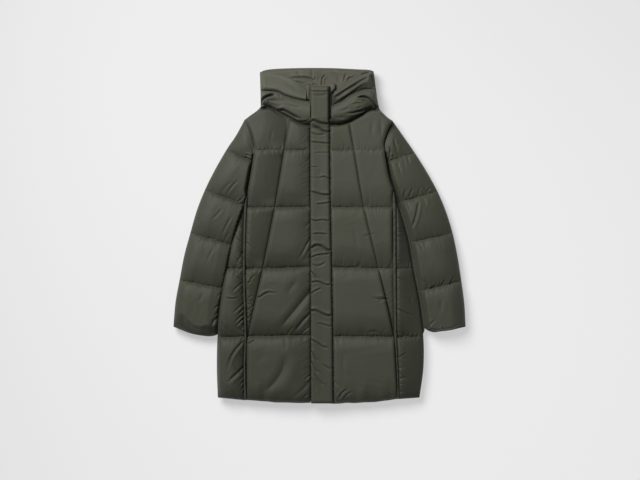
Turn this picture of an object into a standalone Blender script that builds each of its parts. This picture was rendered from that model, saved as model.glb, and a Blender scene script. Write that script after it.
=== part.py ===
"""Long quilted puffer coat with a hood, laid flat on its back.

Metres, +Z up. The back rests on Z = 0, the hood lies toward +Y and the hem toward -Y.
Right and left are the wearer's: the wearer's right is at -X.
Each cut piece is one closed padded wall. Its quilting is raised in the outer points over a plain inside.
"""

import math
from collections import namedtuple

import bmesh
import bpy

COLLECTION = "long_puffer_coat"

# Heights above the floor.
BACK_TOP = 0.0280
LAYER_GAP = 0.0003
FRONT_BED = BACK_TOP + LAYER_GAP
FRONT_SEAM_TOP = 0.0385
PLACKET_SEAM_TOP = 0.0435
FRONT_PUFF = 0.0180
OUTLINE_RIM = 0.0012
UNDERLAP_TOP = 0.0420
PLACKET_BED = UNDERLAP_TOP + LAYER_GAP
HOOD_BACK_TOP = 0.0360
NECK_TOP = 0.0352
COLLAR_BED = HOOD_BACK_TOP + LAYER_GAP
STRIP_TOP = 0.0510
SLEEVE_MIDDLE = 0.0220
SLEEVE_SEAM_TOP = 0.0430
SLEEVE_PUFF = 0.0200
SLEEVE_HOLLOW = 0.0030

# Gaps in plan, and the widths over which a padded edge rounds over.
SEAM_GAP = 0.0003
SLEEVE_GAP = 0.0009
HOOD_NECK_GAP = 0.0025
QUILT_ROUNDING = 0.036
SEAM_ROUNDING = 0.026
OUTLINE_ROUNDING = 0.016
UNDERSIDE_ROUNDING = 0.016
NECK_ROUNDING = 0.030
NECK_GROOVE = 0.006
HOLLOW_INSET = 0.018

# How far along the coat one level reaches at the hem, at the shoulder and at the cuff.
HEM_BAFFLE = 0.195
SHOULDER_BAFFLE = 0.100
CUFF_BAFFLE = 0.145
HEM_SAG = 0.0135

# A line is crossed by the quilting levels: 0 at the neck, 1 to 4 at the quilt lines, 5 at the hem.
Point = namedtuple("Point", "level x y")

BODY_LINES = {
    "right": {
        "placket": [
            Point(0, -0.0289, 0.3460),
            Point(1, -0.0289, 0.2550),
            Point(2, -0.0285, 0.0855),
            Point(3, -0.0279, -0.0930),
            Point(4, -0.0273, -0.2985),
            Point(5, -0.0267, -0.5015),
        ],
        "slant": [
            Point(0, -0.0893, 0.3615),
            Point(1, -0.1062, 0.2555),
            Point(2, -0.1343, 0.0850),
            Point(3, -0.1704, -0.0984),
            Point(4, -0.2146, -0.3000),
            Point(4.2, -0.2176, -0.3370),
            Point(5, -0.2169, -0.4935),
        ],
        "strip_inner": [
            Point(1.7, -0.2139, 0.1370),
            Point(1.83, -0.2150, 0.1160),
            Point(2, -0.2168, 0.0850),
            Point(3, -0.2216, -0.0988),
            Point(4, -0.2175, -0.3010),
            Point(4.5, -0.2199, -0.3960),
            Point(5, -0.2172, -0.4938),
        ],
        "strip_outer": [
            Point(1.83, -0.2180, 0.1160),
            Point(1.92, -0.2230, 0.0995),
            Point(2, -0.2256, 0.0850),
            Point(3, -0.2296, -0.0988),
            Point(4, -0.2246, -0.3015),
            Point(4.5, -0.2272, -0.3960),
            Point(5, -0.2249, -0.4940),
        ],
        "side": [
            Point(0, -0.2256, 0.3465),
            Point(0.4, -0.2078, 0.3120),
            Point(0.8, -0.1975, 0.2735),
            Point(1, -0.1963, 0.2550),
            Point(1.2, -0.1995, 0.2270),
            Point(1.5, -0.2085, 0.1700),
            Point(1.83, -0.2185, 0.1160),
            Point(2, -0.2283, 0.0850),
            Point(2.5, -0.2577, -0.0050),
            Point(3, -0.2785, -0.0975),
            Point(3.5, -0.2968, -0.2000),
            Point(4, -0.3063, -0.3030),
            Point(4.5, -0.3085, -0.3950),
            Point(5, -0.3055, -0.4860),
        ],
    },
    "left": {
        "placket": [
            Point(0, -0.0200, 0.3460),
            Point(1, -0.0200, 0.2550),
            Point(2, -0.0200, 0.0855),
            Point(3, -0.0200, -0.0930),
            Point(4, -0.0200, -0.3000),
            Point(5, -0.0200, -0.4998),
        ],
        "slant": [
            Point(0, 0.0846, 0.3535),
            Point(1, 0.1023, 0.2550),
            Point(2, 0.1318, 0.0850),
            Point(3, 0.1749, -0.0975),
            Point(4, 0.2203, -0.3020),
            Point(4.2, 0.2235, -0.3390),
            Point(5, 0.2318, -0.4900),
        ],
        "strip_inner": [
            Point(1.7, 0.2190, 0.1370),
            Point(1.83, 0.2165, 0.1150),
            Point(2, 0.2168, 0.0850),
            Point(3, 0.2186, -0.0985),
            Point(4, 0.2231, -0.3025),
            Point(4.5, 0.2275, -0.3960),
            Point(5, 0.2321, -0.4902),
        ],
        "strip_outer": [
            Point(1.75, 0.2228, 0.1280),
            Point(1.85, 0.2270, 0.1110),
            Point(2, 0.2295, 0.0850),
            Point(3, 0.2302, -0.0985),
            Point(4, 0.2314, -0.3025),
            Point(4.5, 0.2358, -0.3960),
            Point(5, 0.2387, -0.4904),
        ],
        "side": [
            Point(0, 0.2181, 0.3441),
            Point(0.4, 0.2035, 0.3150),
            Point(0.8, 0.1918, 0.2760),
            Point(1, 0.1926, 0.2550),
            Point(1.2, 0.1972, 0.2270),
            Point(1.5, 0.2110, 0.1700),
            Point(1.75, 0.2235, 0.1280),
            Point(2, 0.2371, 0.0850),
            Point(2.5, 0.2628, -0.0050),
            Point(3, 0.2790, -0.0975),
            Point(3.5, 0.2988, -0.2000),
            Point(4, 0.3108, -0.3030),
            Point(4.5, 0.3112, -0.3950),
            Point(5, 0.2992, -0.4860),
        ],
    },
}

# The cut edge of the neck and the shoulders, under the collar: across the coat, x then y.
NECK_EDGE = [
    (-0.2256, 0.3465),
    (-0.2090, 0.3590),
    (-0.1850, 0.3765),
    (-0.1700, 0.3915),
    (-0.1500, 0.3965),
    (-0.1227, 0.3830),
    (-0.0893, 0.3615),
    (-0.0555, 0.3490),
    (-0.0200, 0.3460),
    (0.0400, 0.3460),
    (0.0846, 0.3535),
    (0.1221, 0.3740),
    (0.1500, 0.3920),
    (0.1690, 0.3915),
    (0.1830, 0.3740),
    (0.2050, 0.3530),
    (0.2181, 0.3441),
]
SHOULDER_START = 0.182

# The visible edge of the collar over the fronts: across the coat, x then y.
NECKLINE = [
    (-0.2300, 0.3950),
    (-0.2050, 0.3830),
    (-0.1900, 0.3790),
    (-0.1770, 0.3805),
    (-0.1500, 0.3855),
    (-0.1227, 0.3702),
    (-0.1014, 0.3594),
    (-0.0738, 0.3456),
    (-0.0555, 0.3363),
    (-0.0290, 0.3333),
    (0.0345, 0.3340),
    (0.0609, 0.3345),
    (0.0885, 0.3426),
    (0.1221, 0.3609),
    (0.1527, 0.3785),
    (0.1780, 0.3800),
    (0.2300, 0.3950),
]

# Sleeves: the outer and the inner edge at the armhole (0), the quilt lines (1 to 4) and the cuff (5).
SleeveRow = namedtuple("SleeveRow", "level outer_x outer_y inner_y")

SLEEVE_ROWS = {
    "right": [
        SleeveRow(0, -0.2266, 0.3468, 0.2340),
        SleeveRow(0.5, -0.2520, 0.2995, 0.2285),
        SleeveRow(1, -0.2790, 0.2590, 0.2215),
        SleeveRow(1.5, -0.3150, 0.1965, 0.1560),
        SleeveRow(2, -0.3445, 0.1370, 0.0915),
        SleeveRow(2.5, -0.3690, 0.0750, 0.0315),
        SleeveRow(3, -0.3880, 0.0090, -0.0285),
        SleeveRow(3.5, -0.4068, -0.0600, -0.0940),
        SleeveRow(4, -0.4205, -0.1320, -0.1590),
        SleeveRow(4.5, -0.4330, -0.2000, -0.2280),
        SleeveRow(5, -0.4393, -0.2735, -0.2960),
    ],
    "left": [
        SleeveRow(0, 0.2191, 0.3444, 0.2330),
        SleeveRow(0.5, 0.2500, 0.3000, 0.2270),
        SleeveRow(1, 0.2850, 0.2490, 0.2195),
        SleeveRow(1.5, 0.3200, 0.1935, 0.1580),
        SleeveRow(2, 0.3530, 0.1335, 0.0985),
        SleeveRow(2.5, 0.3785, 0.0735, 0.0390),
        SleeveRow(3, 0.3990, 0.0075, -0.0204),
        SleeveRow(3.5, 0.4140, -0.0630, -0.0920),
        SleeveRow(4, 0.4255, -0.1365, -0.1656),
        SleeveRow(4.5, 0.4345, -0.2050, -0.2230),
        SleeveRow(5, 0.4383, -0.2735, -0.2790),
    ],
}
CUFF_BENDS = {
    "right": [(-0.3291, -0.3095), (-0.3591, -0.3045), (-0.3891, -0.2955), (-0.4191, -0.2815)],
    "left": [(0.3250, -0.2850), (0.3430, -0.2895), (0.3609, -0.2870), (0.3909, -0.2835), (0.4209, -0.2765)],
}
ARMHOLE_DEPTH = 1.12
SLEEVE_INNER_ROUNDING = {"right": 0.050, "left": 0.026}
SLEEVE_OUTER_ROUNDING = 0.052
SIDE_ROUNDING = {"right": 0.024, "left": 0.046}

# Hood and collar: each piece lies between an upper and a lower edge, from its outer to its inner end.
HOOD_EDGES = {
    "hood_side_right": (
        [(-0.1791, 0.4895), (-0.1400, 0.4830), (-0.1041, 0.4755), (-0.0760, 0.4650), (-0.0405, 0.4385)],
        [(-0.1775, 0.4336), (-0.1290, 0.4305), (-0.1014, 0.4182), (-0.0678, 0.4074), (-0.0405, 0.4026)],
    ),
    "collar_right": (
        [(-0.1772, 0.4330), (-0.1290, 0.4299), (-0.1014, 0.4176), (-0.0678, 0.4068), (-0.0290, 0.4003)],
        [(-0.1765, 0.3800), (-0.1500, 0.3840), (-0.1014, 0.3594), (-0.0650, 0.3405), (-0.0290, 0.3333)],
    ),
    "hood_side_left": (
        [(0.1615, 0.4940), (0.1300, 0.4765), (0.1000, 0.4590), (0.0700, 0.4415), (0.0430, 0.4255)],
        [(0.1660, 0.4396), (0.1281, 0.4366), (0.0915, 0.4212), (0.0669, 0.4045), (0.0402, 0.3900)],
    ),
    "collar_left": (
        [(0.1665, 0.4390), (0.1281, 0.4359), (0.0915, 0.4206), (0.0669, 0.4038), (0.0345, 0.3860)],
        [(0.1780, 0.3765), (0.1527, 0.3755), (0.1221, 0.3600), (0.0800, 0.3385), (0.0345, 0.3340)],
    ),
    "hood_back": (
        [
            (-0.1791, 0.4880),
            (-0.1700, 0.4945),
            (-0.1400, 0.4995),
            (-0.0600, 0.5025),
            (0.0300, 0.5025),
            (0.1200, 0.4985),
            (0.1520, 0.4965),
            (0.1615, 0.4925),
        ],
        [(-0.1760, 0.3860), (-0.0880, 0.3635), (0.0000, 0.3475), (0.0880, 0.3560), (0.1755, 0.3810)],
    ),
}
HOOD_SIDE_TOP = 0.058
COLLAR_TOP = 0.071
HOOD_SEAM_TOP = 0.048
HOOD_RIDGE = 0.009

STAND_COLLAR_RIM = 0.0475
StandRow = namedtuple("StandRow", "left_x right_x y_left y_right")
STAND_ROWS = [
    StandRow(-0.0283, 0.0335, 0.3600, 0.3600),
    StandRow(-0.0283, 0.0335, 0.4012, 0.4012),
    StandRow(-0.0340, 0.0335, 0.4050, 0.4050),
    StandRow(-0.0398, 0.0335, 0.4090, 0.4090),
    StandRow(-0.0398, 0.0335, 0.4250, 0.4240),
    StandRow(-0.0398, 0.0405, 0.4300, 0.4310),
    StandRow(-0.0397, 0.0470, 0.4360, 0.4400),
    StandRow(-0.0395, 0.0478, 0.4420, 0.4490),
    StandRow(-0.0390, 0.0465, 0.4455, 0.4535),
]
STAND_SHOW = 0.008
STAND_INSET = 0.0009

# Placket: its edges from the top down, and the creases pressed across it.
PlacketRow = namedtuple("PlacketRow", "y left_x right_x")
PLACKET_ROWS = [
    PlacketRow(0.4470, -0.0282, 0.0300),
    PlacketRow(0.2600, -0.0281, 0.0306),
    PlacketRow(0.0900, -0.0277, 0.0324),
    PlacketRow(-0.1000, -0.0271, 0.0365),
    PlacketRow(-0.3000, -0.0265, 0.0400),
    PlacketRow(-0.5020, -0.0260, 0.0416),
]
PLACKET_THICK = 0.0130
PLACKET_COLLAR_RISE = 0.0130
PLACKET_END_ROUNDING = 0.009

Crease = namedtuple("Crease", "y_left y_right depth")
PLACKET_CREASES = [
    Crease(0.4290, 0.4290, 0.0022),
    Crease(0.3380, 0.3290, 0.0050),
    Crease(0.3230, 0.3090, 0.0045),
    Crease(0.2780, 0.2730, 0.0024),
    Crease(0.2430, 0.2440, 0.0020),
    Crease(0.2080, 0.2070, 0.0024),
    Crease(0.1720, 0.1690, 0.0024),
    Crease(0.1280, 0.1210, 0.0042),
    Crease(0.0930, 0.0960, 0.0024),
    Crease(0.0450, 0.0420, 0.0028),
    Crease(0.0030, 0.0030, 0.0024),
    Crease(-0.0360, -0.0460, 0.0055),
    Crease(-0.0620, -0.0540, 0.0028),
    Crease(-0.1420, -0.1480, 0.0030),
    Crease(-0.1730, -0.1560, 0.0024),
    Crease(-0.2280, -0.2400, 0.0045),
    Crease(-0.2660, -0.2720, 0.0026),
    Crease(-0.3120, -0.3300, 0.0034),
    Crease(-0.3560, -0.3640, 0.0022),
    Crease(-0.4020, -0.4280, 0.0030),
]
CREASE_HALF_WIDTH = 0.0055

# The largest folds: a soft trough from one end to the other.
Fold = namedtuple("Fold", "x_start y_start x_end y_end half_width depth")
FOLDS = {
    "front_centre_right": [
        Fold(-0.110, -0.382, -0.164, -0.458, 0.016, 0.0045),
        Fold(-0.030, -0.168, -0.120, -0.284, 0.014, 0.0040),
        Fold(-0.030, -0.010, -0.072, -0.080, 0.014, 0.0030),
    ],
    "side_panel_right": [
        Fold(-0.232, -0.312, -0.275, -0.440, 0.012, 0.0040),
        Fold(-0.230, -0.140, -0.262, -0.172, 0.012, 0.0030),
        Fold(-0.228, -0.228, -0.285, -0.262, 0.012, 0.0030),
    ],
    "side_panel_left": [
        Fold(0.234, -0.222, 0.282, -0.246, 0.010, 0.0040),
        Fold(0.231, -0.128, 0.262, -0.142, 0.010, 0.0030),
    ],
    "collar_right": [
        Fold(-0.176, 0.382, -0.166, 0.411, 0.006, 0.0170),
        Fold(-0.166, 0.411, -0.138, 0.421, 0.006, 0.0120),
    ],
    "collar_left": [
        Fold(0.176, 0.383, 0.160, 0.399, 0.006, 0.0170),
        Fold(0.160, 0.399, 0.119, 0.416, 0.006, 0.0130),
    ],
    "hood_side_left": [
        Fold(0.155, 0.470, 0.050, 0.406, 0.008, 0.0060),
    ],
    "hood_back": [
        Fold(0.021, 0.486, 0.006, 0.452, 0.008, 0.0030),
        Fold(-0.117, 0.479, -0.012, 0.468, 0.009, 0.0040),
    ],
}

# Finishes: colour, roughness.
CLOTH = (0.062, 0.064, 0.046, 1.0)
CLOTH_ROUGHNESS = 0.62
INNER_CLOTH = (0.078, 0.075, 0.058, 1.0)
TRIM_CLOTH = (0.056, 0.058, 0.042, 1.0)

BAFFLE_STEPS = (0.0, 0.06, 0.17, 0.36, 0.64, 0.83, 0.94)
NECK_STEPS = (0.0, 0.10, 0.165, 0.24, 0.36, 0.52, 0.70, 0.88)
SLEEVE_STEPS = (0.0, 0.10, 0.28, 0.5, 0.72, 0.90)
FRONT_SIDE_COLUMNS = (0.0, 0.06, 0.18, 0.40, 0.655, 0.82, 0.94, 1.0)
HEM_STEPS = (0.0, 0.06, 0.17, 0.36, 0.62, 0.80, 0.90, 0.955, 0.985)


def rise(distance, width):
    """0 at an edge, 1 at the given width from it and beyond, along a quarter ellipse."""
    share = min(max(distance / width, 0.0), 1.0)
    return math.sqrt(1.0 - (1.0 - share) ** 2)


def smooth(share):
    share = min(max(share, 0.0), 1.0)
    return share * share * (3.0 - 2.0 * share)


def mix(a, b, share):
    return a + (b - a) * share


def curve_at(knots, values, where):
    """A smooth curve through the values at their knots, read at one place."""
    last = len(knots) - 1
    if where <= knots[0]:
        return values[0]
    if where >= knots[last]:
        return values[last]
    i = max(k for k in range(last) if knots[k] <= where)
    step = knots[i + 1] - knots[i]

    def slope(k):
        low = max(k - 1, 0)
        high = min(k + 1, last)
        return (values[high] - values[low]) / (knots[high] - knots[low])

    t = (where - knots[i]) / step
    rest = 1.0 - t
    return (
        values[i] * (1.0 + 2.0 * t) * rest * rest
        + slope(i) * step * t * rest * rest
        + values[i + 1] * (3.0 - 2.0 * t) * t * t
        - slope(i + 1) * step * t * t * rest
    )


def line_at(points, level):
    """The place in plan where a quilting level crosses a line."""
    knots = [p.level for p in points]
    x = curve_at(knots, [p.x for p in points], level)
    y = curve_at(knots, [p.y for p in points], level)
    return x, y


def path_at(points, share):
    """The place in plan at a share of the length of a path of corners."""
    lengths = [0.0]
    for a, b in zip(points, points[1:]):
        lengths.append(lengths[-1] + math.dist(a, b))
    knots = [length / lengths[-1] for length in lengths]
    x = curve_at(knots, [p[0] for p in points], share)
    y = curve_at(knots, [p[1] for p in points], share)
    return x, y


def height_along(table, x):
    """How far up the coat a table of x and y reaches at one x."""
    return curve_at([row[0] for row in table], [row[1] for row in table], x)


def side_x(side, y):
    """How far out the body reaches at a place along its side."""
    low, high = 1.0, 5.0
    line = BODY_LINES[side]["side"]
    for _ in range(40):
        middle = (low + high) / 2.0
        if line_at(line, middle)[1] > y:
            low = middle
        else:
            high = middle
    return line_at(line, low)[0]


def levels_between(first, last, steps=BAFFLE_STEPS):
    """Quilting levels from first to last, closer together at each quilt line."""
    found = {first, last}
    for baffle in range(math.floor(first), math.ceil(last)):
        chosen = NECK_STEPS if baffle == 0 and steps is BAFFLE_STEPS else steps
        chosen = HEM_STEPS if baffle == 4 and steps is BAFFLE_STEPS else chosen
        found.update(baffle + step for step in chosen if first < baffle + step < last)
    ordered = sorted(found)
    return [a for a, b in zip(ordered, ordered[1:] + [last + 1.0]) if b - a > 0.012]


def columns_between(near_first, near_last, middle):
    """Shares across a piece, closer together at its two edges."""
    inner = [mix(near_first[-1], 1.0 - near_last[-1], i / middle) for i in range(1, middle)]
    return [0.0, *near_first, *inner, *(1.0 - share for share in reversed(near_last)), 1.0]


def fold_depth(name, x, y):
    """How deep the folds of a piece press in at a place in plan."""
    total = 0.0
    for fold in FOLDS.get(name, []):
        run_x = fold.x_end - fold.x_start
        run_y = fold.y_end - fold.y_start
        length_squared = run_x**2 + run_y**2
        share = ((x - fold.x_start) * run_x + (y - fold.y_start) * run_y) / length_squared
        share = min(max(share, 0.0), 1.0)
        away = math.dist((x, y), (fold.x_start + share * run_x, fold.y_start + share * run_y))
        fade = 1.0 - 0.6 * share
        total = max(total, fold.depth * fade * math.exp(-((away / fold.half_width) ** 2)))
    return total


def add_material(name, colour, roughness):
    material = bpy.data.materials.new(name)
    material.use_nodes = True
    shader = material.node_tree.nodes["Principled BSDF"]
    shader.inputs["Base Color"].default_value = colour
    shader.inputs["Roughness"].default_value = roughness
    shader.inputs["Metallic"].default_value = 0.0
    return material


def add_object(name, mesh_builder, colour):
    """Puts a finished mesh in the coat's collection, with its own material."""
    bmesh.ops.recalc_face_normals(mesh_builder, faces=mesh_builder.faces)
    mesh = bpy.data.meshes.new(name)
    mesh_builder.to_mesh(mesh)
    mesh_builder.free()
    mesh.shade_smooth()
    mesh.set_sharp_from_angle(angle=math.radians(50.0))
    mesh.materials.append(add_material(f"{name}_cloth", colour, CLOTH_ROUGHNESS))
    piece = bpy.data.objects.new(name, mesh)
    bpy.data.collections[COLLECTION].objects.link(piece)
    return piece


def add_wall(name, outer, inner, colour=CLOTH):
    """A closed padded wall between two grids of points with the same rows and columns."""
    builder = bmesh.new()
    outer_points = [[builder.verts.new(point) for point in row] for row in outer]
    inner_points = [[builder.verts.new(point) for point in row] for row in inner]
    rows, columns = len(outer), len(outer[0])
    for grid in (outer_points, inner_points):
        for r in range(rows - 1):
            for c in range(columns - 1):
                builder.faces.new((grid[r][c], grid[r][c + 1], grid[r + 1][c + 1], grid[r + 1][c]))
    for r in range(rows - 1):
        for c in (0, columns - 1):
            rim = (outer_points[r][c], outer_points[r + 1][c], inner_points[r + 1][c], inner_points[r][c])
            builder.faces.new(rim)
    for c in range(columns - 1):
        for r in (0, rows - 1):
            rim = (outer_points[r][c], outer_points[r][c + 1], inner_points[r][c + 1], inner_points[r][c])
            builder.faces.new(rim)
    return add_object(name, builder, colour)


def add_tube(name, outer_rings, inner_rings, colour=CLOTH):
    """A tube of cloth: outer rings, inner rings, and a face all round at each end."""
    builder = bmesh.new()
    outside = [[builder.verts.new(point) for point in ring] for ring in outer_rings]
    inside = [[builder.verts.new(point) for point in ring] for ring in inner_rings]
    count = len(outer_rings[0])
    skins = list(zip(outside, outside[1:])) + list(zip(inside, inside[1:]))
    skins += [(outside[0], inside[0]), (outside[-1], inside[-1])]
    for first, second in skins:
        for i in range(count):
            j = (i + 1) % count
            builder.faces.new((first[i], first[j], second[j], second[i]))
    return add_object(name, builder, colour)


def bent_row(corner_a, corner_b, bends, share):
    """How far a bent end leaves the straight line between its corners."""
    if not bends:
        return 0.0, 0.0
    x, y = path_at([corner_a, *bends, corner_b], share)
    return x - mix(corner_a[0], corner_b[0], share), y - mix(corner_a[1], corner_b[1], share)


def neck_shift(corner_a, corner_b, level, share):
    """How far up the neck edge lifts a place that lies between two corners."""
    edge_y = height_along(NECK_EDGE, mix(corner_a[0], corner_b[0], share))
    return (edge_y - mix(corner_a[1], corner_b[1], share)) * max(1.0 - level, 0.0) ** 1.6


def place_on_body(inner_line, outer_line, level, share):
    """A place in plan on a body piece, and how wide the piece is there."""
    inner = line_at(inner_line, level)
    outer = line_at(outer_line, level)
    x = mix(inner[0], outer[0], share)
    y = mix(inner[1], outer[1], share)
    y += neck_shift(line_at(inner_line, 0.0), line_at(outer_line, 0.0), level, share)
    return x, y, math.dist(inner, outer)


def quilt_distance(inner_line, outer_line, level, share):
    """The distance along a piece to the nearest quilt line, the neck and the hem left out."""
    above = math.floor(level)
    below = above + 1
    here = mix(line_at(inner_line, level)[1], line_at(outer_line, level)[1], share)
    found = []
    for edge in (above, below):
        if 1 <= edge <= 4:
            there = mix(line_at(inner_line, edge)[1], line_at(outer_line, edge)[1], share)
            found.append(abs(there - here))
    return min(found) if found else 1.0


def hem_distance(level):
    return (5.0 - level) * HEM_BAFFLE


def front_height(name, side, x, y, inner_seam, outer_seam, inner_away, outer_away, quilt_away, outline, hem_away):
    """The height of a front piece's outer face."""
    width = inner_away + outer_away
    share = inner_away / max(width, 1e-6)
    seam = mix(inner_seam, outer_seam, share)
    outer_rounding = SIDE_ROUNDING[side] if outline else SEAM_ROUNDING
    rounding = min(SEAM_ROUNDING, 0.55 * width)
    puff = rise(inner_away, rounding) * rise(outer_away, min(outer_rounding, 0.55 * width))
    puff *= rise(quilt_away, QUILT_ROUNDING) * rise(hem_away, QUILT_ROUNDING)
    edge = rise(hem_away, OUTLINE_ROUNDING)
    if outline:
        edge *= rise(outer_away, OUTLINE_ROUNDING)
    height = FRONT_BED + OUTLINE_RIM + (seam - FRONT_BED - OUTLINE_RIM) * edge
    height += FRONT_PUFF * min(1.0, width / 0.060) * puff
    height -= fold_depth(name, x, y) * puff
    below_neck = height_along(NECKLINE, x) - NECK_GROOVE - y
    if below_neck < NECK_ROUNDING:
        height = NECK_TOP + (height - NECK_TOP) * smooth(below_neck / NECK_ROUNDING)
    return height


def add_front_piece(name, side, inner_line, outer_line, levels, columns, inner_seam, outer_seam, outline=False):
    """A quilted front piece between two of the body's lines."""
    sign = -1.0 if side == "right" else 1.0
    inner_line = [Point(p.level, p.x + sign * SEAM_GAP / 2.0, p.y) for p in inner_line]
    outer_line = [Point(p.level, p.x - sign * SEAM_GAP / 2.0, p.y) for p in outer_line]
    outer, bed = [], []
    for level in levels:
        outer_row, bed_row = [], []
        for share in columns:
            x, y, width = place_on_body(inner_line, outer_line, level, share)
            height = front_height(
                name, side, x, y, inner_seam, outer_seam, share * width, (1.0 - share) * width,
                quilt_distance(inner_line, outer_line, level, share), outline, hem_distance(level),
            )
            if name.startswith("front_side") and abs(x) > SHOULDER_START and level < 1.0:
                edge = rise(level * SHOULDER_BAFFLE, OUTLINE_ROUNDING)
                height = FRONT_BED + OUTLINE_RIM + (height - FRONT_BED - OUTLINE_RIM) * edge
            outer_row.append((x, y, height))
            bed_row.append((x, y, FRONT_BED))
        outer.append(outer_row)
        bed.append(bed_row)
    return add_wall(name, outer, bed)


def placket_edge(y):
    rows = sorted(PLACKET_ROWS, key=lambda row: row.y)
    knots = [row.y for row in rows]
    left = curve_at(knots, [row.left_x for row in rows], y)
    right = curve_at(knots, [row.right_x for row in rows], y)
    return left, right


def add_front_centre_left():
    """The left front with its underlap, which runs on flat below the placket."""
    name = "front_centre_left"
    lines = BODY_LINES["left"]
    slant = [Point(p.level, p.x - SEAM_GAP / 2.0, p.y) for p in lines["slant"]]
    lap = lines["placket"]
    outer, bed = [], []
    for level in levels_between(0.0, 5.0):
        start_x, start_y = line_at(lap, level)
        end_x, end_y = line_at(slant, level)
        free_edge = placket_edge(mix(start_y, end_y, 0.25))[1] + 0.0015
        span = end_x - free_edge
        steps = [0.004, 0.010, 0.019, 0.032]
        places = [start_x, free_edge] + [free_edge + step for step in steps]
        places += [mix(places[-1], end_x - 0.024, share) for share in (0.25, 0.5, 0.75, 1.0)]
        places += [end_x - 0.013, end_x - 0.0045, end_x]
        outer_row, bed_row = [], []
        for place in places:
            share = (place - start_x) / (end_x - start_x)
            x, y, _ = place_on_body(lap, slant, level, share)
            away = x - free_edge
            height = front_height(
                name, "left", x, y, UNDERLAP_TOP, FRONT_SEAM_TOP, max(away, 0.0), max(end_x - x, 0.0),
                quilt_distance(lap, slant, level, share), False, hem_distance(level),
            )
            if away < 0.0:
                height = min(height, UNDERLAP_TOP)
            outer_row.append((x, y, height))
            bed_row.append((x, y, FRONT_BED))
        outer.append(outer_row)
        bed.append(bed_row)
    return add_wall(name, outer, bed)


def add_back():
    """The back: flat where it rests, its free edges rounded up to meet the fronts."""
    right = BODY_LINES["right"]["side"]
    left = BODY_LINES["left"]["side"]
    edge_steps = [0.0, 0.004, 0.011, 0.020, 0.032]
    shares = [step / 0.45 for step in edge_steps]
    columns = shares + [0.10, 0.15, 0.21, 0.29, 0.40, 0.5, 0.60, 0.71, 0.79, 0.85, 0.90]
    columns += [1.0 - share for share in reversed(shares)]
    top, underside = [], []
    for level in levels_between(0.0, 5.0):
        a, b = line_at(right, level), line_at(left, level)
        top_row, under_row = [], []
        width = b[0] - a[0]
        for share in columns:
            x, y = mix(a[0], b[0], share), mix(a[1], b[1], share)
            sag = 4.0 * share * (1.0 - share)
            if level > 4.0:
                y -= HEM_SAG * sag**0.6 * (level - 4.0)
            y += neck_shift(line_at(right, 0.0), line_at(left, 0.0), level, share)
            y -= HOOD_NECK_GAP / 2.0 * max(1.0 - level, 0.0)
            side_away = min(share, 1.0 - share) * width
            free_side = smooth((level - 1.05) / 0.5)
            rounded = mix(1.0, rise(side_away, UNDERSIDE_ROUNDING), free_side)
            rounded *= rise(hem_distance(level), UNDERSIDE_ROUNDING)
            if abs(x) > SHOULDER_START and level < 0.5:
                rounded *= mix(0.35, 1.0, rise(level * SHOULDER_BAFFLE, UNDERSIDE_ROUNDING))
            top_row.append((x, y, BACK_TOP))
            under_row.append((x, y, (BACK_TOP - OUTLINE_RIM) * (1.0 - rounded)))
        top.append(top_row)
        underside.append(under_row)
    return add_wall("back", top, underside)


def add_side_strip(side):
    """The narrow raised strip between the fronts and the side panel."""
    sign = -1.0 if side == "right" else 1.0
    lines = BODY_LINES[side]
    inner_line, outer_line = lines["strip_inner"], lines["strip_outer"]
    first = outer_line[0].level
    outer, bed = [], []
    for level in levels_between(first, 5.0):
        inner, edge = line_at(inner_line, level), line_at(outer_line, level)
        outer_row, bed_row = [], []
        for share, lift in ((0.0, 0.0), (0.22, 0.8), (0.5, 1.0), (0.78, 0.8), (1.0, 0.0)):
            x = mix(inner[0], edge[0], share) + sign * SEAM_GAP * (0.5 - share) * 2.0
            y = mix(inner[1], edge[1], share)
            end = rise(hem_distance(level), OUTLINE_ROUNDING)
            seam = mix(FRONT_BED + OUTLINE_RIM, FRONT_SEAM_TOP, end)
            outer_row.append((x, y, mix(seam, mix(seam, STRIP_TOP, end), lift)))
            bed_row.append((x, y, FRONT_BED))
        outer.append(outer_row)
        bed.append(bed_row)
    return add_wall(f"side_strip_{side}", outer, bed, TRIM_CLOTH)


def placket_height(x, y, left, right):
    """The height of the placket's outer face, with its creases."""
    away = min((x - left) / 0.006, (right - x) / 0.009, 1.0)
    body = PLACKET_THICK + PLACKET_COLLAR_RISE * smooth((y - 0.318) / 0.035)
    end = min(PLACKET_ROWS[0].y - y, y - PLACKET_ROWS[-1].y)
    height = body * rise(away, 1.0) * mix(0.3, 1.0, rise(end, PLACKET_END_ROUNDING))
    share = (x - left) / (right - left)
    for crease in PLACKET_CREASES:
        away_y = abs(y - mix(crease.y_left, crease.y_right, share))
        height -= crease.depth * math.exp(-((away_y / CREASE_HALF_WIDTH) ** 2)) * rise(away, 1.0)
    return PLACKET_BED + max(height, 0.0012)


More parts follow.
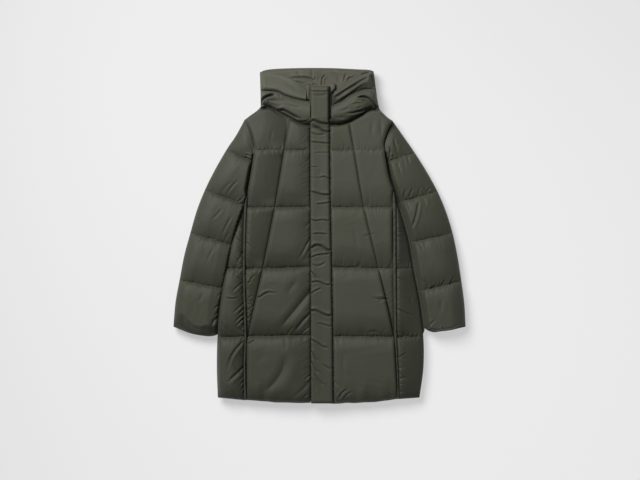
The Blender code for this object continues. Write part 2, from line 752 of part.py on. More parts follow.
def add_placket():
    """The padded fly: sewn along its right edge, free along its left one."""
    places = {PLACKET_ROWS[0].y, PLACKET_ROWS[0].y - 0.003, PLACKET_ROWS[0].y - 0.009}
    places |= {PLACKET_ROWS[-1].y, PLACKET_ROWS[-1].y + 0.003, PLACKET_ROWS[-1].y + 0.009}
    for crease in PLACKET_CREASES:
        middle = (crease.y_left + crease.y_right) / 2.0
        places |= {middle - 2.0 * CREASE_HALF_WIDTH, middle, middle + 2.0 * CREASE_HALF_WIDTH}
    ordered = sorted(places, reverse=True)
    kept = [ordered[0]]
    for place in ordered[1:]:
        if kept[-1] - place > 0.0028:
            kept.append(place)
    outer, bed = [], []
    for y_row in kept:
        left, right = placket_edge(y_row)
        slope = 0.0
        for crease in PLACKET_CREASES:
            near = math.exp(-(((y_row - (crease.y_left + crease.y_right) / 2.0) / 0.012) ** 2))
            slope += near * (crease.y_right - crease.y_left)
        slope = min(max(slope, -0.018), 0.018)
        room = min(kept[0] - y_row, y_row - kept[-1]) / 0.03
        slope *= min(room, 1.0)
        outer_row, bed_row = [], []
        for share in (0.0, 0.06, 0.2, 0.5, 0.8, 0.94, 1.0):
            x = mix(left, right, share)
            y = y_row + slope * (share - 0.5)
            outer_row.append((x, y, placket_height(x, y, left, right)))
            bed_row.append((x, y, PLACKET_BED))
        outer.append(outer_row)
        bed.append(bed_row)
    return add_wall("placket", outer, bed, TRIM_CLOTH)


def add_stand_collar():
    """The inner collar, whose ends show on each side of the placket's top."""
    placket_left, placket_right = placket_edge(PLACKET_ROWS[0].y)
    outer, bed = [], []
    for row in STAND_ROWS:
        hidden_left = max(row.left_x + STAND_INSET, placket_left - 0.0014)
        hidden_right = min(row.right_x - STAND_INSET, placket_right + 0.0014)
        shown_left = min((hidden_left - row.left_x - STAND_INSET) / STAND_SHOW, 1.0)
        shown_right = min((row.right_x - hidden_right - STAND_INSET) / STAND_SHOW, 1.0)
        columns = (
            (row.left_x, 0.45 * shown_left),
            (mix(row.left_x, hidden_left, 0.45), shown_left),
            (hidden_left, 0.0),
            (0.0, 0.0),
            (hidden_right, 0.0),
            (mix(row.right_x, hidden_right, 0.45), shown_right),
            (row.right_x, 0.45 * shown_right),
        )
        outer_row, bed_row = [], []
        for x, lift in columns:
            y = mix(row.y_left, row.y_right, (x - row.left_x) / (row.right_x - row.left_x))
            outer_row.append((x, y, mix(UNDERLAP_TOP, STAND_COLLAR_RIM, lift)))
            bed_row.append((x, y, COLLAR_BED))
        outer.append(outer_row)
        bed.append(bed_row)
    return add_wall("stand_collar", outer, bed, INNER_CLOTH)


def add_roll(name, top, upper_seam, lower_seam, row_count, column_count, ridge=0.0):
    """A padded piece of the hood or collar between its upper and lower edges."""
    upper, lower = HOOD_EDGES[name]
    outer, bed = [], []
    for r in range(row_count + 1):
        across = (1.0 - math.cos(math.pi * r / row_count)) / 2.0
        outer_row, bed_row = [], []
        for c in range(column_count + 1):
            along = (1.0 - math.cos(math.pi * c / column_count)) / 2.0
            a, b = path_at(upper, along), path_at(lower, along)
            if name.startswith("collar"):
                b = (b[0], height_along(NECKLINE, b[0]))
            x, y = mix(a[0], b[0], across), mix(a[1], b[1], across)
            depth = math.dist(a, b)
            from_upper, from_lower = across * depth, (1.0 - across) * depth
            from_end = abs(x - mix(upper[0][0], lower[0][0], across))
            puff = rise(from_upper, 0.45 * depth) * rise(from_lower, 0.5 * depth) * rise(from_end, 0.030)
            seam = mix(upper_seam, lower_seam, across)
            edge = rise(from_end, OUTLINE_ROUNDING)
            base = COLLAR_BED + OUTLINE_RIM + (seam - COLLAR_BED - OUTLINE_RIM) * edge
            height = base + (top - seam) * puff
            height += ridge * math.exp(-((from_upper / 0.011 - 1.0) ** 2)) * rise(from_end, 0.02)
            height -= fold_depth(name, x, y) * min(1.0, 0.25 + puff)
            height = max(height, COLLAR_BED + OUTLINE_RIM)
            outer_row.append((x, y, height))
            bed_row.append((x, y, COLLAR_BED))
        outer.append(outer_row)
        bed.append(bed_row)
    return add_wall(name, outer, bed)


def add_hood_back():
    """The hood's back layer, flat on the floor, rounded along the hood's outline."""
    upper, lower = HOOD_EDGES["hood_back"]
    row_shares = (0.0, 0.03, 0.08, 0.16, 0.27, 0.42, 0.6, 0.8, 1.0)
    column_shares = columns_between([0.012, 0.035, 0.065], [0.012, 0.035, 0.065], 12)
    top, underside = [], []
    for across in row_shares:
        top_row, under_row = [], []
        for along in column_shares:
            a, b = path_at(upper, along), path_at(lower, along)
            b = (b[0], height_along(NECK_EDGE, b[0]) + HOOD_NECK_GAP)
            x, y = mix(a[0], b[0], across), mix(a[1], b[1], across)
            from_top = across * math.dist(a, b)
            from_side = min(along, 1.0 - along) * 0.35
            edge = rise(from_top + 0.001, 0.030)
            height = mix(0.0200, HOOD_BACK_TOP, edge) - fold_depth("hood_back", x, y) * edge
            rounded = rise(from_top, 0.018) * rise(from_side, UNDERSIDE_ROUNDING)
            top_row.append((x, y, height))
            under_row.append((x, y, 0.0160 * (1.0 - rounded)))
        top.append(top_row)
        underside.append(under_row)
    return add_wall("hood_back", top, underside, INNER_CLOTH)


def sleeve_place(side, level, share):
    """A place in plan on a sleeve: share 0 at its inner edge, 1 at its outer edge."""
    sign = -1.0 if side == "right" else 1.0
    rows = SLEEVE_ROWS[side]
    knots = [row.level for row in rows]

    def edges(at):
        outer_x = curve_at(knots, [row.outer_x for row in rows], at)
        outer_y = curve_at(knots, [row.outer_y for row in rows], at)
        inner_y = curve_at(knots, [row.inner_y for row in rows], at)
        return (side_x(side, inner_y) + sign * SLEEVE_GAP, inner_y), (outer_x, outer_y)

    inner, outer = edges(level)
    x, y = mix(inner[0], outer[0], share), mix(inner[1], outer[1], share)
    if level < 1.0:
        first_inner, first_outer = edges(0.0)
        seam = line_at(BODY_LINES[side]["side"], ARMHOLE_DEPTH * (1.0 - share))
        weight = (1.0 - level) ** 1.4
        x += (seam[0] + sign * SLEEVE_GAP - mix(first_inner[0], first_outer[0], share)) * weight
        y += (seam[1] + 0.3 * SLEEVE_GAP - mix(first_inner[1], first_outer[1], share)) * weight
    if level > 4.0:
        last_inner, last_outer = edges(5.0)
        shift = bent_row(last_inner, last_outer, CUFF_BENDS[side], share)
        x += shift[0] * (level - 4.0) ** 1.6
        y += shift[1] * (level - 4.0) ** 1.6
    return x, y, math.dist(inner, outer)


def sleeve_quilt_distance(side, level):
    """The distance along a sleeve to its nearest quilt line."""
    rows = SLEEVE_ROWS[side]
    knots = [row.level for row in rows]
    here = curve_at(knots, [row.outer_y for row in rows], level)
    found = []
    for edge in (math.floor(level), math.floor(level) + 1):
        if edge <= 4:
            there = curve_at(knots, [row.outer_y for row in rows], edge)
            found.append(abs(there - here) * 1.05)
    return min(found, default=1.0)


def add_sleeve(side):
    """One quilted sleeve: two layers lying on each other, open at the cuff."""
    half = 13
    shares = [(1.0 - math.cos(math.pi * i / half)) / 2.0 for i in range(half + 1)]
    levels = levels_between(0.0, 5.0, SLEEVE_STEPS)
    levels = levels[:-1] + [4.965, 4.99, 5.0]
    rings = []
    for level in levels:
        cuff_away = (5.0 - level) * CUFF_BAFFLE
        cuff = mix(0.50, 1.0, rise(cuff_away, 0.020))
        puff = rise(sleeve_quilt_distance(side, level), 0.040)
        crown = SLEEVE_SEAM_TOP + SLEEVE_PUFF * puff
        crown = mix(FRONT_SEAM_TOP, crown, smooth(level / 0.25))
        upper, lower = [], []
        for share in shares:
            x, y, width = sleeve_place(side, level, share)
            inner_away, outer_away = share * width, (1.0 - share) * width
            over = rise(inner_away, SLEEVE_INNER_ROUNDING[side]) * rise(outer_away, SLEEVE_OUTER_ROUNDING)
            under = rise(inner_away, 0.018) * rise(outer_away, 0.020) * mix(0.45, 1.0, rise(cuff_away, 0.016))
            upper.append((x, y, SLEEVE_MIDDLE + 0.0008 + (crown - SLEEVE_MIDDLE) * over * cuff))
            lower.append((x, y, (SLEEVE_MIDDLE - 0.0008) * (1.0 - under)))
        rings.append(upper + lower[::-1])
    hollow = []
    for level in (0.0, 1.0, 2.0, 3.0, 4.0, 5.0):
        upper, lower = [], []
        for share in shares:
            width = sleeve_place(side, level, share)[2]
            inset = mix(HOLLOW_INSET / width, 1.0 - HOLLOW_INSET / width, share)
            x, y, _ = sleeve_place(side, level, inset)
            opening = SLEEVE_HOLLOW / 2.0 * mix(0.2, 1.0, rise(min(share, 1.0 - share), 0.2))
            upper.append((x, y, SLEEVE_MIDDLE + opening))
            lower.append((x, y, SLEEVE_MIDDLE - opening))
        hollow.append(upper + lower[::-1])
    return add_tube(f"sleeve_{side}", rings, hollow)


def add_fronts(side):
    """The front pieces of one side, from the placket to the side edge."""
    lines = BODY_LINES[side]
    wide = columns_between([0.035, 0.12, 0.24], [0.035, 0.12, 0.24], 3)
    narrow = columns_between([0.06, 0.18], [0.06, 0.18], 3)
    if side == "right":
        add_front_piece(
            "front_centre_right", side, lines["placket"], lines["slant"],
            levels_between(0.0, 5.0), wide, PLACKET_SEAM_TOP, FRONT_SEAM_TOP,
        )
    else:
        add_front_centre_left()
    armhole = [p for p in lines["side"] if p.level < 1.6]
    strip = [p for p in lines["strip_inner"] if p.level > 1.6]
    add_front_piece(
        f"front_side_{side}", side, lines["slant"], armhole + strip,
        levels_between(0.0, 4.0), FRONT_SIDE_COLUMNS, FRONT_SEAM_TOP, FRONT_SEAM_TOP,
    )
    first = 2.0 if side == "right" else 1.92
    add_front_piece(
        f"side_panel_{side}", side, lines["strip_outer"], lines["side"],
        levels_between(first, 5.0), narrow, FRONT_SEAM_TOP, FRONT_SEAM_TOP, outline=True,
    )
    add_side_strip(side)


def main():
    for stale in list(bpy.data.objects):
        bpy.data.objects.remove(stale, do_unlink=True)
    collection = bpy.data.collections.new(COLLECTION)
    bpy.context.scene.collection.children.link(collection)

    add_back()
    for side in ("right", "left"):
        add_fronts(side)
        add_sleeve(side)
        ridge = HOOD_RIDGE if side == "left" else 0.0
        add_roll(f"hood_side_{side}", HOOD_SIDE_TOP, COLLAR_BED + 0.006, HOOD_SEAM_TOP, 9, 14, ridge)
        add_roll(f"collar_{side}", COLLAR_TOP, HOOD_SEAM_TOP, COLLAR_BED + 0.004, 10, 16)
    add_placket()
    add_stand_collar()
    add_hood_back()


main()
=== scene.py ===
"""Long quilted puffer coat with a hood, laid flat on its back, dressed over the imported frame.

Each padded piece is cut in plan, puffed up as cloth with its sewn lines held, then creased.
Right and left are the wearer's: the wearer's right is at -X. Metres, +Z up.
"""

import math

import bmesh
import bpy
import numpy as np
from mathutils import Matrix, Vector
from mathutils.bvhtree import BVHTree
from mathutils.geometry import delaunay_2d_cdt


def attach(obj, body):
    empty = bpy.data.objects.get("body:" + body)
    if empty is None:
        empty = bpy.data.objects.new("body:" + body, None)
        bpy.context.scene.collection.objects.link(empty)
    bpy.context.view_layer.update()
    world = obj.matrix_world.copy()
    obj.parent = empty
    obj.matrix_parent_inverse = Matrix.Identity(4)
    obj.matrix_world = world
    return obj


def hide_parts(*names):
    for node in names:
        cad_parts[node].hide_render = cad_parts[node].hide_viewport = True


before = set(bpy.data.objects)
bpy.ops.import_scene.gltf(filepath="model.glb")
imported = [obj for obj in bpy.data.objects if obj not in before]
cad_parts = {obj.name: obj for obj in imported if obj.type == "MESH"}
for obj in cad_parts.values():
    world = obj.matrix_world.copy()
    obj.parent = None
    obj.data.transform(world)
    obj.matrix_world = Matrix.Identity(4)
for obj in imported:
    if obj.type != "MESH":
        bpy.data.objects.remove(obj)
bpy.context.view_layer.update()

# Heights above the floor, as in the frame.
BACK_TOP = 0.0280
FRONT_BED = 0.0283
FRONT_SEAM_TOP = 0.0385
PLACKET_SEAM_TOP = 0.0435
FRONT_PUFF = 0.0240
OUTLINE_RIM = 0.0012
UNDERLAP_TOP = 0.0420
PLACKET_BED = 0.0423
HOOD_BACK_TOP = 0.0360
NECK_TOP = 0.0352
COLLAR_BED = 0.0363
STRIP_TOP = 0.0540
STRIP_EDGES = {"right": (0.0390, 0.0440), "left": (0.0470, 0.0430)}
SLEEVE_MIDDLE = 0.0220
SLEEVE_SEAM_TOP = 0.0430
SLEEVE_PUFF = 0.0200
ARMHOLE_TOP = 0.0540

# The gap in plan between the body and each sleeve: y, width. Below zero the two are pressed together.
SLEEVE_GAP = {
    "right": [
        (-0.35, -0.0010), (0.095, -0.0010), (0.118, 0.0006), (0.135, 0.0036), (0.20, 0.0034), (0.22, 0.0002),
    ],
    "left": [(-0.35, 0.0066), (0.00, 0.0056), (0.20, 0.0040), (0.235, 0.0008), (0.24, 0.0004)],
}
HOOD_NECK_GAP = 0.0006

# Widths over which the filling rounds over toward a sewn line or an edge.
QUILT_ROUNDING_ABOVE = 0.078
QUILT_ROUNDING_BELOW = 0.050
QUILT_STAND = 0.0045
OUTLINE_ROUNDING = 0.016
HEM_ROUNDING = 0.062
HEM_TURN = 0.022
UNDERSIDE_ROUNDING = 0.016
NECK_ROUNDING = 0.0085
NECK_GROOVE = 0.0025

# The back: how far its hem sags between the side edges and how full that curve is, how far it is set in from
# the fronts, how far it reaches under the sleeves, and the y and the length over which that begins.
HEM_SAG = 0.0135
HEM_SAG_CURVE = 0.6
BACK_SET_IN = 0.0030
BACK_BELOW_SLEEVE = 0.0006
BELOW_SLEEVE_FROM = -0.300
BELOW_SLEEVE_LENGTH = 0.020

# The shoulders: how far out they start, how far each one falls, from which y and over what length.
SHOULDER_START = 0.182
SHOULDER_FALL = (0.012, 0.003)
SHOULDER_FALL_FROM = 0.260
SHOULDER_FALL_LENGTH = 0.120

# The sleeves: the level of the body's side where the armhole ends; y and the width over which the inner edge
# rounds over; y and how far the right sleeve falls toward the body; the widths over which the outer edge
# rounds over, at the cuff and at the shoulder; the share of the height that is left at the cuff's lip, and
# the width over which it rounds over.
ARMHOLE_DEPTH = 1.12
SLEEVE_INNER_ROUNDING = {
    "right": [
        (-0.30, 0.0130), (-0.21, 0.0110), (-0.17, 0.0040), (0.115, 0.0040), (0.135, 0.0100), (0.24, 0.0060),
    ],
    "left": [(-0.30, 0.0165), (0.10, 0.0165), (0.24, 0.0125)],
}
LEFT_SLEEVE_SOFTNESS = 0.55
RIGHT_SLEEVE_FALL = [(-0.30, 0.0120), (-0.10, 0.0090), (0.00, 0.0060), (0.09, 0.0030), (0.13, 0.0)]
SLEEVE_FALL_WIDTH = 0.036
SLEEVE_FALL_CURVE = 1.4
SLEEVE_OUTER_ROUNDING = {"right": (0.036, 0.060), "left": (0.052, 0.132)}
SLEEVE_OUTER_FROM = -0.20
SLEEVE_OUTER_LENGTH = 0.40
SLEEVE_PRESS = 0.80
SLEEVE_EDGE_RISE = 0.0008
ARMHOLE_ROUNDING = 0.026
CUFF_ROUNDING = {"right": (0.28, 0.037), "left": (0.45, 0.012)}

# Undersides: the widths over which a sleeve's inner and outer edges round over, the same two values for its
# cuff as above, the depth and width of the quilt lines' grooves, and the spacing of the cloth's corners.
SLEEVE_UNDER_ROUNDING = (0.018, 0.020)
CUFF_UNDER_ROUNDING = (0.45, 0.016)
SLEEVE_UNDER_GROOVE = (0.0016, 0.004)
BACK_GROOVE = (0.0018, 0.0045)
UNDER_SPACING = 0.0065
BACK_SPACING = 0.0075
SIGN = {"right": -1.0, "left": 1.0}

# Shares of a side panel's slope and rounding that are left where it lies beside the sleeve.
BESIDE_SLEEVE = {"right": (0.25, 0.25), "left": (1.0, 0.35)}
SLEEVE_END = -0.275
SLEEVE_END_WIDTH = 0.030

# Grooves along seams and quilt lines. A seam's depth is a share of the quilt lines' depth.
SEAM_GROOVE = {"right": 1.75, "left": 0.70}
SEAM_GROOVE_WIDTH = 0.0018
GROOVE_DEPTH = 0.0036
GROOVE_WIDTH = 0.0017
LEAST_DIP = 0.25
QUILT_END_WIDTH = 0.004

# How much of a seam's slope is left where a quilt line crosses it, and the width over which it comes back.
CROSSING_SLOPE = 0.55
CROSSING_WIDTH = 0.030

# How uneven the hem and the cuffs are, how long their waves are, and the seed of the hem's.
HEM_WAVES = (0.30, 0.021, 31)
CUFF_WAVES = (0.30, 0.017)

# How much of the full puff each sewn line takes, 1 down to the seam and 0 none, the width of the slope
# beside it, and how much steeper that slope is close to the line.
PLAIN_STEEPNESS = 2.4
SEAM_PRESS = {
    "front_centre_right": ((0.60, 0.085, 2.4), (0.14, 0.016, 2.4)),
    "front_centre_left": ((0.10, 0.008, 2.4), (0.13, 0.009, 2.4)),
    "front_side_right": ((0.88, 0.075, 1.5), (0.20, 0.018, 2.4)),
    "front_side_left": ((0.12, 0.008, 2.4), (0.22, 0.014, 2.4)),
    "side_panel_right": ((0.75, 0.044, 2.4), (1.0, 0.026, 2.4)),
    "side_panel_left": ((0.06, 0.008, 2.4), (1.0, 0.074, 1.3)),
}

# How wide a piece has to be to stand at its full puff, and the share of its width that a slope may take.
FULL_PUFF_WIDTH = 0.060
SLOPE_SHARE = 0.75
OWN_PUFF_WIDTH = {"side_panel_left": 0.024}
OWN_SLOPE_SHARE = {"front_side_right": 1.0, "side_panel_left": 0.92}

# How much of the full puff the quilt lines take, from the top one down.
QUILT_PRESS = {
    "front_centre_right": (0.40, 0.75, 0.90, 0.90),
    "front_centre_left": (0.30, 0.65, 0.85, 0.85),
    "front_side_right": (0.25, 0.70, 0.90),
    "front_side_left": (0.07, 0.50, 0.80),
    "side_panel_right": (0.80, 0.90),
    "side_panel_left": (0.60, 0.80),
}

# Lines of the body: level, x, y. The levels are 0 at the neck, 1 to 4 at the quilt lines, 5 at the hem.
BODY_LINES = {
    "right": {
        "placket": [
            (0, -0.0289, 0.3460), (1, -0.0289, 0.2550), (2, -0.0285, 0.0855),
            (3, -0.0279, -0.0930), (4, -0.0273, -0.2985), (5, -0.0267, -0.5015),
        ],
        "slant": [
            (0, -0.0893, 0.3615), (1, -0.1062, 0.2555), (2, -0.1343, 0.0850), (3, -0.1704, -0.0984),
            (4, -0.2146, -0.3000), (4.2, -0.2176, -0.3370), (5, -0.2169, -0.4935),
        ],
        "strip_inner": [
            (1.7, -0.2139, 0.1370), (1.83, -0.2150, 0.1160), (2, -0.2168, 0.0850), (3, -0.2216, -0.0988),
            (4, -0.2175, -0.3010), (4.5, -0.2199, -0.3960), (5, -0.2172, -0.4938),
        ],
        "strip_outer": [
            (1.83, -0.2180, 0.1160), (1.92, -0.2230, 0.0995), (2, -0.2256, 0.0850), (3, -0.2296, -0.0988),
            (4, -0.2246, -0.3015), (4.5, -0.2272, -0.3960), (5, -0.2249, -0.4940),
        ],
        "side": [
            (0, -0.2256, 0.3465), (0.4, -0.2078, 0.3120), (0.8, -0.1975, 0.2735), (1, -0.1963, 0.2550),
            (1.2, -0.1995, 0.2270), (1.5, -0.2085, 0.1700), (1.83, -0.2185, 0.1160), (2, -0.2283, 0.0850),
            (2.5, -0.2577, -0.0050), (3, -0.2785, -0.0975), (3.5, -0.2968, -0.2000), (4, -0.3063, -0.3030),
            (4.5, -0.3085, -0.3950), (5, -0.3055, -0.4860),
        ],
    },
    "left": {
        "placket": [
            (0, -0.0200, 0.3460), (1, -0.0200, 0.2550), (2, -0.0200, 0.0855),
            (3, -0.0200, -0.0930), (4, -0.0200, -0.3000), (5, -0.0200, -0.4998),
        ],
        "slant": [
            (0, 0.0846, 0.3535), (1, 0.1023, 0.2550), (2, 0.1318, 0.0850), (3, 0.1749, -0.0975),
            (4, 0.2203, -0.3020), (4.2, 0.2235, -0.3390), (5, 0.2318, -0.4900),
        ],
        "strip_inner": [
            (1.7, 0.2190, 0.1370), (1.83, 0.2165, 0.1150), (2, 0.2168, 0.0850), (3, 0.2186, -0.0985),
            (4, 0.2231, -0.3025), (4.5, 0.2275, -0.3960), (5, 0.2321, -0.4902),
        ],
        "strip_outer": [
            (1.75, 0.2228, 0.1280), (1.85, 0.2270, 0.1110), (2, 0.2295, 0.0850), (3, 0.2302, -0.0985),
            (4, 0.2314, -0.3025), (4.5, 0.2358, -0.3960), (5, 0.2387, -0.4904),
        ],
        "side": [
            (0, 0.2181, 0.3441), (0.4, 0.2035, 0.3150), (0.8, 0.1918, 0.2760), (1, 0.1926, 0.2550),
            (1.2, 0.1968, 0.2270), (1.5, 0.2080, 0.1700), (1.75, 0.2228, 0.1280), (2, 0.2371, 0.0850),
            (2.5, 0.2628, -0.0050), (3, 0.2790, -0.0975), (3.5, 0.2988, -0.2000), (4, 0.3108, -0.3030),
            (4.5, 0.3112, -0.3950), (5, 0.2992, -0.4860),
        ],
    },
}

# The hem of the fronts between the seams, a little uneven: x, y.
HEM_EDGES = {
    "right": [
        (-0.2169, -0.4935), (-0.1950, -0.4950), (-0.1750, -0.4968), (-0.1550, -0.4980), (-0.1340, -0.5006),
        (-0.1000, -0.5012), (-0.0600, -0.5026), (-0.0267, -0.5015),
    ],
    "left": [
        (-0.0200, -0.4998), (0.0400, -0.5046), (0.0600, -0.5042), (0.0800, -0.5020), (0.1050, -0.5026),
        (0.1350, -0.5006), (0.1650, -0.4996), (0.1900, -0.4962), (0.2100, -0.4938), (0.2318, -0.4900),
    ],
}

# The cut edge of the neck under the collar, and the collar's edge over the fronts: x, y.
NECK_EDGE = [
    (-0.2256, 0.3465), (-0.2090, 0.3590), (-0.1850, 0.3765), (-0.1700, 0.3915), (-0.1500, 0.3965),
    (-0.1227, 0.3830), (-0.0893, 0.3615), (-0.0555, 0.3490), (-0.0200, 0.3460), (0.0400, 0.3460),
    (0.0846, 0.3535), (0.1221, 0.3740), (0.1500, 0.3920), (0.1690, 0.3915), (0.1830, 0.3740),
    (0.2050, 0.3530), (0.2181, 0.3441),
]
NECKLINE = [
    (-0.2300, 0.3950), (-0.2050, 0.3830), (-0.1900, 0.3790), (-0.1770, 0.3805), (-0.1500, 0.3855),
    (-0.1227, 0.3702), (-0.1014, 0.3594), (-0.0738, 0.3456), (-0.0555, 0.3363), (-0.0290, 0.3333),
    (0.0345, 0.3340), (0.0609, 0.3345), (0.0885, 0.3426), (0.1221, 0.3609), (0.1527, 0.3785),
    (0.1780, 0.3800), (0.2300, 0.3950),
]

# Sleeves: level, outer x, outer y, inner y.
SLEEVE_ROWS = {
    "right": [
        (0, -0.2266, 0.3468, 0.2340), (0.5, -0.2520, 0.2995, 0.2285), (1, -0.2790, 0.2590, 0.2215),
        (1.5, -0.3150, 0.1965, 0.1560), (2, -0.3445, 0.1370, 0.0915), (2.5, -0.3690, 0.0750, 0.0315),
        (3, -0.3880, 0.0090, -0.0285), (3.5, -0.4068, -0.0600, -0.0940), (4, -0.4205, -0.1320, -0.1590),
        (4.5, -0.4330, -0.2000, -0.2280), (5, -0.4393, -0.2735, -0.2960),
    ],
    "left": [
        (0, 0.2191, 0.3444, 0.2330), (0.5, 0.2500, 0.3000, 0.2270), (1, 0.2850, 0.2490, 0.2195),
        (1.5, 0.3200, 0.1935, 0.1580), (2, 0.3530, 0.1335, 0.0985), (2.5, 0.3785, 0.0735, 0.0390),
        (3, 0.3990, 0.0075, -0.0204), (3.5, 0.4140, -0.0630, -0.0920), (4, 0.4255, -0.1365, -0.1656),
        (4.5, 0.4345, -0.2050, -0.2230), (5, 0.4383, -0.2735, -0.2790),
    ],
}
CUFF_BENDS = {
    "right": [
        (-0.3130, -0.2995), (-0.3291, -0.3020), (-0.3591, -0.2990), (-0.3891, -0.2925), (-0.4191, -0.2810),
    ],
    "left": [(0.3250, -0.2850), (0.3430, -0.2895), (0.3609, -0.2870), (0.3909, -0.2835), (0.4209, -0.2765)],
}

# Hood and collar: upper edge, lower edge.
HOOD_EDGES = {
    "hood_side_right": (
        [(-0.1791, 0.4895), (-0.1400, 0.4830), (-0.1041, 0.4755), (-0.0760, 0.4650), (-0.0405, 0.4385)],
        [(-0.1775, 0.4336), (-0.1290, 0.4305), (-0.1014, 0.4182), (-0.0678, 0.4074), (-0.0405, 0.4026)],
    ),
    "collar_right": (
        [(-0.1772, 0.4330), (-0.1290, 0.4299), (-0.1014, 0.4176), (-0.0678, 0.4068), (-0.0290, 0.4003)],
        [(-0.1765, 0.3800), (-0.1500, 0.3840), (-0.1014, 0.3594), (-0.0650, 0.3405), (-0.0290, 0.3333)],
    ),
    "hood_side_left": (
        [
            (0.1608, 0.4925), (0.1331, 0.4802), (0.1090, 0.4689), (0.0905, 0.4593), (0.0693, 0.4456),
            (0.0427, 0.4298),
        ],
        [(0.1660, 0.4396), (0.1281, 0.4366), (0.0915, 0.4212), (0.0669, 0.4045), (0.0402, 0.3900)],
    ),
    "collar_left": (
        [(0.1665, 0.4390), (0.1281, 0.4359), (0.0915, 0.4206), (0.0669, 0.4038), (0.0345, 0.3860)],
        [(0.1780, 0.3765), (0.1527, 0.3755), (0.1221, 0.3600), (0.0800, 0.3385), (0.0345, 0.3340)],
    ),
    "hood_back": (
        [
            (-0.1791, 0.4880), (-0.1700, 0.4945), (-0.1400, 0.4995), (-0.0600, 0.5025),
            (0.0300, 0.5025), (0.1200, 0.4985), (0.1520, 0.4965), (0.1615, 0.4925),
        ],
        [(-0.1760, 0.3860), (-0.0880, 0.3635), (0.0000, 0.3475), (0.0880, 0.3560), (0.1755, 0.3810)],
    ),
}
HOOD_SIDE_TOP = 0.058
COLLAR_TOP = 0.071
HOOD_SEAM_TOP = 0.048
HOOD_RIDGE = 0.009
HOOD_RIM = 0.0045
END_ROUNDING = {
    "collar_right": 0.018, "hood_side_right": 0.015, "collar_left": 0.024, "hood_side_left": 0.050,
}

# Stand collar: left x, right x, y at the left, y at the right.
STAND_ROWS = [
    (-0.0283, 0.0335, 0.3600, 0.3600), (-0.0283, 0.0335, 0.4012, 0.4012), (-0.0340, 0.0335, 0.4050, 0.4050),
    (-0.0398, 0.0335, 0.4090, 0.4090), (-0.0398, 0.0335, 0.4250, 0.4240), (-0.0398, 0.0405, 0.4300, 0.4310),
    (-0.0397, 0.0470, 0.4360, 0.4400), (-0.0395, 0.0478, 0.4420, 0.4490), (-0.0390, 0.0465, 0.4455, 0.4535),
]
STAND_COLLAR_RIM = 0.0475

# Placket: y, left x, right x, from the hem up.
PLACKET_ROWS = [
    (-0.5020, -0.0260, 0.0416), (-0.3000, -0.0265, 0.0400), (-0.1000, -0.0271, 0.0365),
    (0.0900, -0.0277, 0.0324), (0.2600, -0.0281, 0.0306), (0.4470, -0.0282, 0.0300),
]
PLACKET_THICK = 0.0130
PLACKET_COLLAR_RISE = 0.0130


